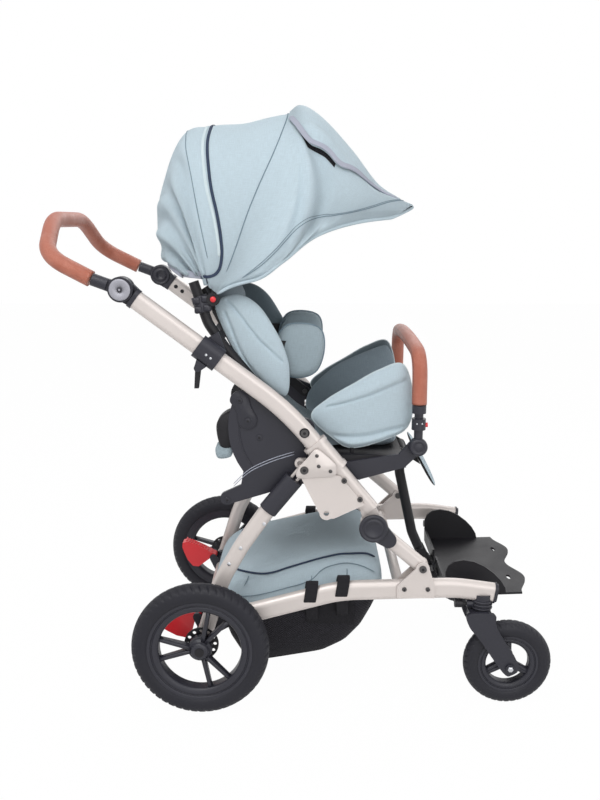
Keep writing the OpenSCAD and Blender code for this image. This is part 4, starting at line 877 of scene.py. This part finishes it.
# ---------------------------------------------------------------------------
# Hood: one cloth cover over two spring hoops, with a visor, a lifted window flap, a zip
# over the crown and a slack bag behind that is gathered into a grey binding.
HOOD_AT = np.array([-193.1, 903.1])
# top angle, top reach, edge angle, edge reach, half width of each arch from the visor to the bag
HOOD_FAN = np.array([
    [24, 468, 24, 408, 152], [34, 425, 31, 252, 182], [48, 428, 28, 165, 196], [64.5, 445, 25, 92, 201],
    [69, 415, 45, 20, 204], [80, 380, 62, 16, 205], [92, 363, 85, 18, 205], [101, 355, 105, 28, 200],
    [115, 276, 108, 47, 196], [130, 206, 126, 62, 193], [143, 132, 141, 80, 191]], float)


def hood_arch(t, c):
    """Point of the hood: the fan's arches are joined by Catmull-Rom cubics along t, and along an arch, whose
    place is the cosine c from one side to the other, the half width shrinks as |c|^0.62 while the angle and
    the reach rise from the edge's to the top's with (1 - c^2)^0.35."""
    t, c = np.broadcast_arrays(np.asarray(t, float), np.asarray(c, float))
    last = len(HOOD_FAN) - 1
    i = np.clip(np.floor(t).astype(int), 0, last - 1)
    k = (t - i)[..., None]
    f = cubic(*(HOOD_FAN[np.clip(i + n, 0, last)] for n in (-1, 0, 1, 2)), k)
    h = np.clip(1 - c ** 2, 0, 1) ** 0.35
    reach = f[..., 3] + (f[..., 1] - f[..., 3]) * h
    angle = np.radians(f[..., 2] + (f[..., 0] - f[..., 2]) * h)
    y = (f[..., 4] + 7) * np.sign(c) * np.abs(c) ** 0.62
    return np.stack([HOOD_AT[0] + reach * np.cos(angle), y, HOOD_AT[1] + reach * np.sin(angle)], -1)


def step_up(low, high, v):
    """0 below low, 1 above high, smooth between."""
    v = np.clip((v - low) / (high - low), 0, 1)
    return v * v * (3 - 2 * v)


def hood_folds(t, c):
    """How far the cloth stands off its fan: slack between the hoops, long folds in the bag that tighten into
    gathers at its binding, and creases that fall from the flap's corner over the visor's sides."""
    edge = np.abs(c)
    bag = step_up(6.3, 7.4, t)
    folds = bag * step_up(0.3, 0.85, edge) * (7 * np.sin(2 * np.pi * (1.35 * t + 0.3 * np.sin(5 * c)))
                                             + 5 * np.sin(2 * np.pi * (0.7 * t + 2.4 * edge)))
    gathers = step_up(6.9, 7.6, t) * step_up(0.965, 0.997, edge) * 3.2 * np.sin(2 * np.pi * 4.3 * t)
    puffed = bag * 7 * np.exp(-((edge - 0.8) / 0.25) ** 2)
    slack = -5 * np.exp(-((t - 5.1) / 0.55) ** 2) * (1 - edge ** 4)
    visor = step_up(-3.5, -2.7, -t)
    fall = np.arctan2(edge - 0.5, 3.75 - t)
    falling = visor * step_up(0.4, 0.62, edge) * (1 - step_up(0.95, 1.0, edge)) * 12.0 * np.sin(17 * fall) \
        + visor * np.exp(-((edge - 0.93) / 0.08) ** 2) * 2.2 * np.sin(2 * np.pi * (1.3 * t + 2 * edge))
    return folds + gathers + puffed + slack + falling


def hood_point(t, c, lift=0.0):
    """Point of the finished cloth, lift millimetres off it along its outward normal. Past 205 mm from the middle
    it bends back, as 205 + 9 tanh of the rest over 9, so that the bag passes between the main tubes."""
    t, c = np.broadcast_arrays(np.asarray(t, float), np.asarray(c, float))
    tiny = 1e-3
    p = hood_arch(t, c)
    along = hood_arch(np.minimum(t + tiny, 10), c) - hood_arch(np.maximum(t - tiny, 0), c)
    over = hood_arch(t, np.clip(c + tiny, -1, 1)) - hood_arch(t, np.clip(c - tiny, -1, 1))
    out = np.cross(along, over)
    out /= np.maximum(np.linalg.norm(out, axis=-1, keepdims=True), 1e-9)
    away = p - np.array([HOOD_AT[0], 0, HOOD_AT[1]])
    away[..., 1] *= 0.6
    out *= np.where((out * away).sum(-1, keepdims=True) < 0, -1, 1)
    p = p + (hood_folds(t, c) + lift)[..., None] * out
    past = np.maximum(np.abs(p[..., 1]) - 205, 0)
    p[..., 1] -= np.sign(p[..., 1]) * (past - 9 * np.tanh(past / 9))
    return p


across = np.sin(np.linspace(-np.pi / 2, np.pi / 2, 133))
across = (np.sign(across) * np.abs(across) ** (1 / 0.62))[None]
rows = np.linspace(0, 10, 181)[:, None]
dark_lining = cloth("dark_lining", (92, 100, 112), 640.0, 0.2, 0.0003)
hood = skin("hood_cover", hood_point(rows, across))
thicken(hood, 0.0025, lining=1)
dress(hood, "hood", "hood_fabric", [blue_cloth, dark_lining])

# Flap over the window: its edge runs down both sides from the crown to the visor's brim.
FLAP_T = [0.42, 0.7, 1.07, 1.38, 1.73, 2.23, 2.6, 3.15, 3.5, 3.8]
FLAP_A = [122, 121, 119, 127, 131, 137, 135, 134, 123, 112]
smooth_t = np.linspace(FLAP_T[0], FLAP_T[-1], 81)
flap_edge = np.interp(smooth_t, FLAP_T, FLAP_A)
flap_edge = np.convolve(np.pad(flap_edge, 4, mode="edge"), np.ones(9) / 9, "valid")


def flap_lift(t, w):
    """Gap under the flap: little along the middle and the brim, most at its free edge below the crown."""
    return 2.6 + (1.5 + 8.5 * np.exp(-((t - 2.9) / 0.75) ** 2)) * np.abs(w) ** 6


def arc(degrees):
    """Place on an arch, as the cosine that hood_point takes, from degrees over it."""
    return np.cos(np.radians(np.asarray(degrees, float)))


t = smooth_t[:, None]
w = np.linspace(-1, 1, 91)[None]
flap = skin("hood_flap", hood_point(t, arc(90 + w * (flap_edge[:, None] - 90)), flap_lift(t, w)))
thicken(flap, 0.002, lining=1)
dress(flap, "hood", materials=[blue_cloth, dark_lining])

# Trim: zip, seams, hems and tape along points of (t, degrees over the arch), each with its mirror image.
grey_binding = cloth("grey_binding", (176, 180, 194), 800.0, 0.12, 0.0003)


def hood_line(points, size, material, lift, power=2.0):
    """Cord or band sewn on the cloth along points of (t, degrees over the arch), and its mirror image."""
    made = []
    for side, tag in SIDES:
        q = rounded(points, 10, closed=False)
        c = side * arc(q[:, 1])
        path = hood_point(q[:, 0], c, lift)
        out = hood_point(q[:, 0], c, lift + 2) - path
        made.append(paint(ribbon("line", path, size, up=out, sides=10, power=power, taper=2), material))
    return made


ZIP = [(7.6, 179.2), (6.3, 178.4), (5.62, 177), (5.55, 174), (5.7, 169), (5.85, 163), (6.05, 152), (6.1, 139),
       (6.08, 126), (5.97, 109), (5.94, 92), (5.94, 90)]
TAPE = [(u + 0.16, v) for u, v in ZIP[3:]]
FAN_SEAM = [(4.93, 177), (4.88, 168), (4.8, 161), (4.65, 153), (4.28, 135), (4.03, 118), (3.92, 106), (3.9, 90)]
REAR_SEAM = [(6.5, 175), (6.6, 169), (6.68, 159), (6.75, 146), (6.84, 129), (6.9, 112), (6.92, 90)]
HEM = [(0.3, 90), (0.3, 120), (0.36, 141), (0.75, 160), (1.3, 162.5), (1.8, 162), (2.5, 163), (2.93, 165.5),
       (3.1, 169), (3.2, 173), (3.32, 177), (3.5, 179)]
INNER_HEM = [(u + 0.05, v - 1.2) if v < 178 else (u, v) for u, v in HEM]
trims = {"zip": hood_line(ZIP, (3.2, 1.6), navy_piping, 0.8, power=4),
         "seams": hood_line(FAN_SEAM, (1.2, 1.3), seam_thread, 0.2)
         + hood_line(REAR_SEAM, (1.0, 1.1), seam_thread, 0.2)
         + hood_line(HEM, (0.9, 1.1), seam_thread, 0.3)
         + hood_line(INNER_HEM, (0.7, 0.9), seam_thread, 0.3),
         "zip_tape": hood_line(TAPE, (3.4, 1.0), light_piping, 0.5, power=4), "binding": []}
for side, tag in SIDES:
    c = side * arc(flap_edge - 1.5)
    path = hood_point(smooth_t, c, flap_lift(smooth_t, 1.0) - 0.6)
    band = ribbon("flap_hem", path, (6.0, 1.7), up=hood_point(smooth_t, c, 20) - path, sides=10, power=4, taper=2)
    trims["binding"].append(paint(band, grey_binding))
feet = [(7.6, 180), (8.2, 180), (8.8, 180), (9.4, 180), (10, 180)]
back_row = [(10, v) for v in (174, 160, 140, 120, 100, 80, 60, 40, 20, 6)]
q = rounded(feet + back_row + [(u, 0) for u, v in feet[::-1]], 8, closed=False)
path = hood_arch(np.minimum(q[:, 0], 10), arc(q[:, 1]))
trims["binding"].append(ribbon("bag_binding", path, (3.2, 7.5), up=(0.25, 0, 1), sides=14, power=4, taper=1))
rim = np.concatenate([np.stack([np.linspace(4.6, 0, 70), np.full(70, 180.0)], -1),
                      np.stack([np.zeros(90), np.linspace(180, 0, 90)], -1)[1:-1],
                      np.stack([np.linspace(0, 4.6, 70), np.zeros(70)], -1)])
path = hood_arch(rim[:, 0], arc(rim[:, 1]))
path = even(path[np.r_[True, np.linalg.norm(np.diff(path, axis=0), axis=1) > 0.5]], 5)
trims["brim"] = [paint(ribbon("brim", path, (3.6, 3.6), up=(0.3, 0, 1), sides=10, taper=3), blue_cloth)]
window = np.linspace(2.3, 3.62, 40)[:, None]
reach = np.interp(window, FLAP_T, FLAP_A) + np.linspace(-9, 0.9, 9)[None]
trims["window_mesh"] = [paint(skin("gap", hood_point(window, side * arc(reach), 1.2)), mesh_cloth)
                        for side, tag in SIDES]
for tag, parts in trims.items():
    dress(together("hood_" + tag, parts), "hood")

# ---------------------------------------------------------------------------
# Fittings: bolt heads, rivets, ringed caps, latches and other small hardware, screwed or
# pressed onto the frame at the end; steel, nylon and red plastic.


def boss(at, side, profile, material, steps=40):
    """Turned cap: a profile of (radius, y) points spun round a line across the frame at (x, z)."""
    return paint(turned("boss", np.array(profile, float) * (1, side), (at[0], 0, at[1]), steps), material)


def bosses(at, profile, material, steps=40):
    """The same turned cap on both sides."""
    return [boss(at, side, profile, material, steps) for side, tag in SIDES]


def cap(at, side, y, r, t, material, steps=40):
    """Plain round or, with six steps, hexagonal head of radius r that stands t proud of y."""
    profile = [(0, y - 0.5), (r, y - 0.5), (r, y + 0.75 * t), (0.85 * r, y + t), (0, y + t)]
    return boss(at, side, profile, material, steps)


def caps(places, y, r, t, material, steps=40):
    """The same head at several places on both sides."""
    return [cap(at, side, y, r, t, material, steps) for side, tag in SIDES for at in places]


def plate(outline, side, y0, y1, material, round_off=1.2):
    """Flat plate over a star-shaped outline in the side plane, from y0 to y1, its outer edge rounded off."""
    mid = outline.mean(0)
    shrink = 1 - round_off / np.linalg.norm(outline - mid, axis=1, keepdims=True)
    levels = [(0, y0), (1, y0), (1, y1 - round_off), (shrink, y1), (0, y1)]
    rows = [upright(mid + (outline - mid) * k, side * y) for k, y in levels]
    return paint(skin("plate", np.array(rows), around=True), material)


def plates(outline, *size):
    """The same plate on both sides."""
    return [plate(outline, side, *size) for side, tag in SIDES]


def hoop(centre, radius, thick, axis, material):
    """Ring of round section about an axis."""
    a = np.linspace(0, 2 * np.pi, 48, endpoint=False)[:, None]
    axis = np.array(axis, float)
    u = np.cross(axis, ALONG if abs(axis[0]) < 0.9 else ACROSS)
    u /= np.linalg.norm(u)
    ring = np.array(centre, float) + radius * (np.cos(a) * u + np.sin(a) * np.cross(axis, u))
    return paint(ribbon("hoop", ring, (thick, thick), up=axis, closed=True), material)


def fix(name, body, parts):
    """Joins small parts of one finish into one fitting that rides on a body."""
    return dress(together(name, parts), body)


HUB, HANDLE_JOINT, LEG_BOLT, BRACKET = (146, 419), (-377.4, 926.2), (-2.4, 547), (255, 325)
CASTER_AXLE, CASTER_POST = (452, 98), (390, 244)
SOCKETS = [(tuple(TILT), 252.0, 3.6), (LEG_BOLT, 259.0, 4.0), ((82.3, 523.3), 257.0, 2.8), ((116.6, 481.6), 257.0, 2.8)]
fix("bolt_sockets", "upper_frame",
    [cap(at, side, y, r, 0.5, black_moulding, 6) for side, tag in SIDES for at, y, r in SOCKETS]
    + [hoop((TILT[0], side * 248.6, TILT[1]), 9.2, 1.7, ACROSS, black_moulding) for side, tag in SIDES]
    + caps([(-338, 896.6), (-322, 884.5)], -221.6, 5, 0.5, black_moulding))
fix("bracket_sockets", "chassis",
    caps([BRACKET], 265, 3.6, 0.5, black_moulding, 6) + caps([(216, 277), (267, 277)], 263, 2, 0.3, black_moulding))
EAR = rounded([(-20, 536), (-14, 553), (4, 574), (20, 592), (34, 588), (62, 562), (66, 548), (60, 534), (20, 530),
               (-12, 529)], 6)
fix("gusset_ears", "upper_frame", plates(EAR, 254.5, 257.6, champagne_paint))
fix("ear_rivets", "upper_frame", caps([(24, 579), (28, 556), (53, 545)], 257.4, 4, 1.8, dark_steel, 24))
LEG_RIVETS = [(-141, 366), (-167, 329), (-89, 422)]
fix("leg_rivets", "rear_legs", [cap(at, side, y, 4.2, 1.8, bright_steel, 24) for side, tag in SIDES
                                         for y in (244.6, -219.4) for at in LEG_RIVETS])
satin_grey = moulded("satin_grey", (150, 150, 158), 0.5, 900.0, 0.05, 0.08, 0.00003, Metallic=0.4)
CAP_RING = [(4, 252.5), (4, 254.2), (20, 254.5), (22, 253.6), (22, 252.5)]
fix("handle_caps", "push_handle",
    bosses(HANDLE_JOINT, CAP_RING, satin_grey, 64) + caps([HANDLE_JOINT], 256, 2.4, 0.6, satin_grey, 6))
CAP_BOLT = [(0, 252), (5.0, 252), (5.0, 255.4), (4.0, 256.1), (0, 256.1)]
fix("handle_cap_bolts", "push_handle", bosses(HANDLE_JOINT, CAP_BOLT, slate_moulding))
INNER_RINGS = [(24.5, -222.3), (24.5, -220.4), (21.5, -219.4), (20, -220.9), (16, -220.9), (14.6, -219.4),
               (9.5, -219.4), (8, -221), (0, -221), (0, -222.3)]
fix("handle_joint_rings", "upper_frame", bosses(HANDLE_JOINT, INNER_RINGS, slate_moulding, 64))
HUB_FACE = [(0, 266.4), (15, 266.4), (17, 268.6), (19.5, 268.6), (21, 266.6), (24, 266.6), (25.6, 268.8), (29, 268.2),
            (31, 265.6), (31, 261), (0, 261)]
fix("hub_rings", "fold_struts", bosses(HUB, HUB_FACE, slate_moulding, 72))
fix("clamp_screws", "upper_frame", caps([(-196, 786), (-205, 793)], 253, 2.6, 1.0, bright_steel, 20))
for side, tag in SIDES:
    fix("caster_bolts_" + tag, "caster_" + tag,
        [cap(CASTER_AXLE, side, y, 6.6, t, bright_steel, 6) for y, t in ((280, 4), (208, -4))])
fix("caster_collar_rings", "chassis",
    [hoop((CASTER_POST[0], side * CASTER_POST[1], z), 20.6, 2.4, UP, slate_moulding)
     for side, tag in SIDES for z in (231, 239, 247)])

# Bumper joints: a ball housing with a sunk ring, and two rivets in the collar above it.
BUMPER_AT = (241.9, 589.1)
BALL = [(0, 231.6), (7.5, 231.6), (9, 230.2), (11, 230.2), (12.4, 232), (16.5, 231.2), (19.6, 227.6), (20, 222),
        (18, 217), (0, 217)]
fix("bumper_balls", "bumper", bosses(BUMPER_AT, BALL, slate_moulding, 64))
fix("bumper_rivets", "bumper",
    caps([(BUMPER_AT[0] + d, 642) for d in (-5.5, 5.5)], 231.2, 1.7, 1.2, bright_steel, 16))

# Tilt quadrants: a lobed link plate with two bolts, a raised arc, a twin light-grey line along the tilt arm and the
# recline latch.
LOBES = [(-141, 709), (-157, 701), (-162, 686), (-153, 672), (-147, 659), (-146, 643), (-138, 628), (-123, 623),
         (-108, 631), (-104, 647), (-111, 662), (-117, 676), (-121, 694), (-128, 704)]
LATCH = [(-192, 604), (-192, 636), (-172, 657), (-152, 657), (-148, 630), (-150, 600), (-162, 580), (-182, 578)]
LATCH_PAD = [(-196, 580), (-176, 584), (-160, 578), (-164, 558), (-192, 555)]
# bolt: place, foot of its head, how proud the head stands, foot of its socket
LINK_BOLTS = [((-100, 605), 207, 2.0, 209), ((-172, 463), 207, 2.0, 209), ((-141, 688), 210.4, 2.2, 212.6),
              ((-124, 643), 210.4, 2.2, 212.6)]
ARC_REACH = 141
bend = np.radians(np.linspace(166, 217, 40))
raised = TILT + ARC_REACH * np.column_stack([np.cos(bend), np.sin(bend)])
links = []
for side, tag in SIDES:
    links.append(plate(rounded(LOBES, 6), side, 206.5, 210.6, slate_moulding))
    links.append(ribbon("arc", upright(raised, side * 207.2), (1.6, 1.6), taper=3))
    links += [cap(at, side, y, 6.5, proud, slate_moulding) for at, y, proud, socket in LINK_BOLTS]
fix("quadrant_links", "seat", links)
fix("quadrant_sockets", "seat",
    [cap(at, side, socket, 3, 0.4, black_moulding, 6) for side, tag in SIDES for at, y, proud, socket in LINK_BOLTS]
    + plates(rounded(LATCH, 6), 160, 199.5, black_moulding, 5))
fix("latch_pads", "seat", plates(rounded(LATCH_PAD, 8), 156, 199.5, padded_blue, 7))
# two thin light-grey lines drawn 6 mm apart along the tilt arm's upper edge
ARM_EDGE_LINE = np.array([(-158, 500), (-134, 524), (-110, 541), (-67, 560), (-23, 574)], float)
twin = [rounded(ARM_EDGE_LINE - (0, drop), 8, closed=False) for drop in (0, 6)]
fix("quadrant_light_lines", "seat",
    [paint(ribbon("arm_line", upright(line, side * 207.3), (0.9, 0.9), taper=2), grey_binding)
     for side, tag in SIDES for line in twin])

# Brake pedals: a row of grip ribs across each scoop.
PEDAL_AT = np.array([-249.0, 174.0])
PEDAL_RIBS = np.array([(-22 - 7 * k, 9.2 - 0.045 * k * k) for k in range(10)])
for (side, tag), rise in zip(SIDES, np.radians([29, -9])):
    spun = PEDAL_RIBS @ np.array([[np.cos(rise), -np.sin(rise)], [np.sin(rise), np.cos(rise)]])
    ribs = []
    for x, z in PEDAL_AT + spun:
        path = np.linspace((x, side * 156, z), (x, side * 182, z), 9)
        ribs.append(paint(ribbon("rib", path, (1.7, 1.7), up=UP, sides=8, taper=1), red_moulding))
    fix("pedal_ribs_" + tag, "brake_pedal_" + tag, ribs)

# Hood clamps: a split block of four lobes round each post, and the red release button beside it.
BLOCK = np.array([-219, 889])
fix("hood_clamp_lobes", "backrest",
    [plate(cushion_outline(17, 15, 0.0, 32) + BLOCK + lobe, side, 188, 205, slate_moulding, 3)
     for side, tag in SIDES for lobe in ((-10, 10), (8, 14), (-6, -9), (12, -5))])
fix("hood_buttons", "backrest", caps([tuple(HOOD_AT)], 206, 6, 7, red_moulding, 32))
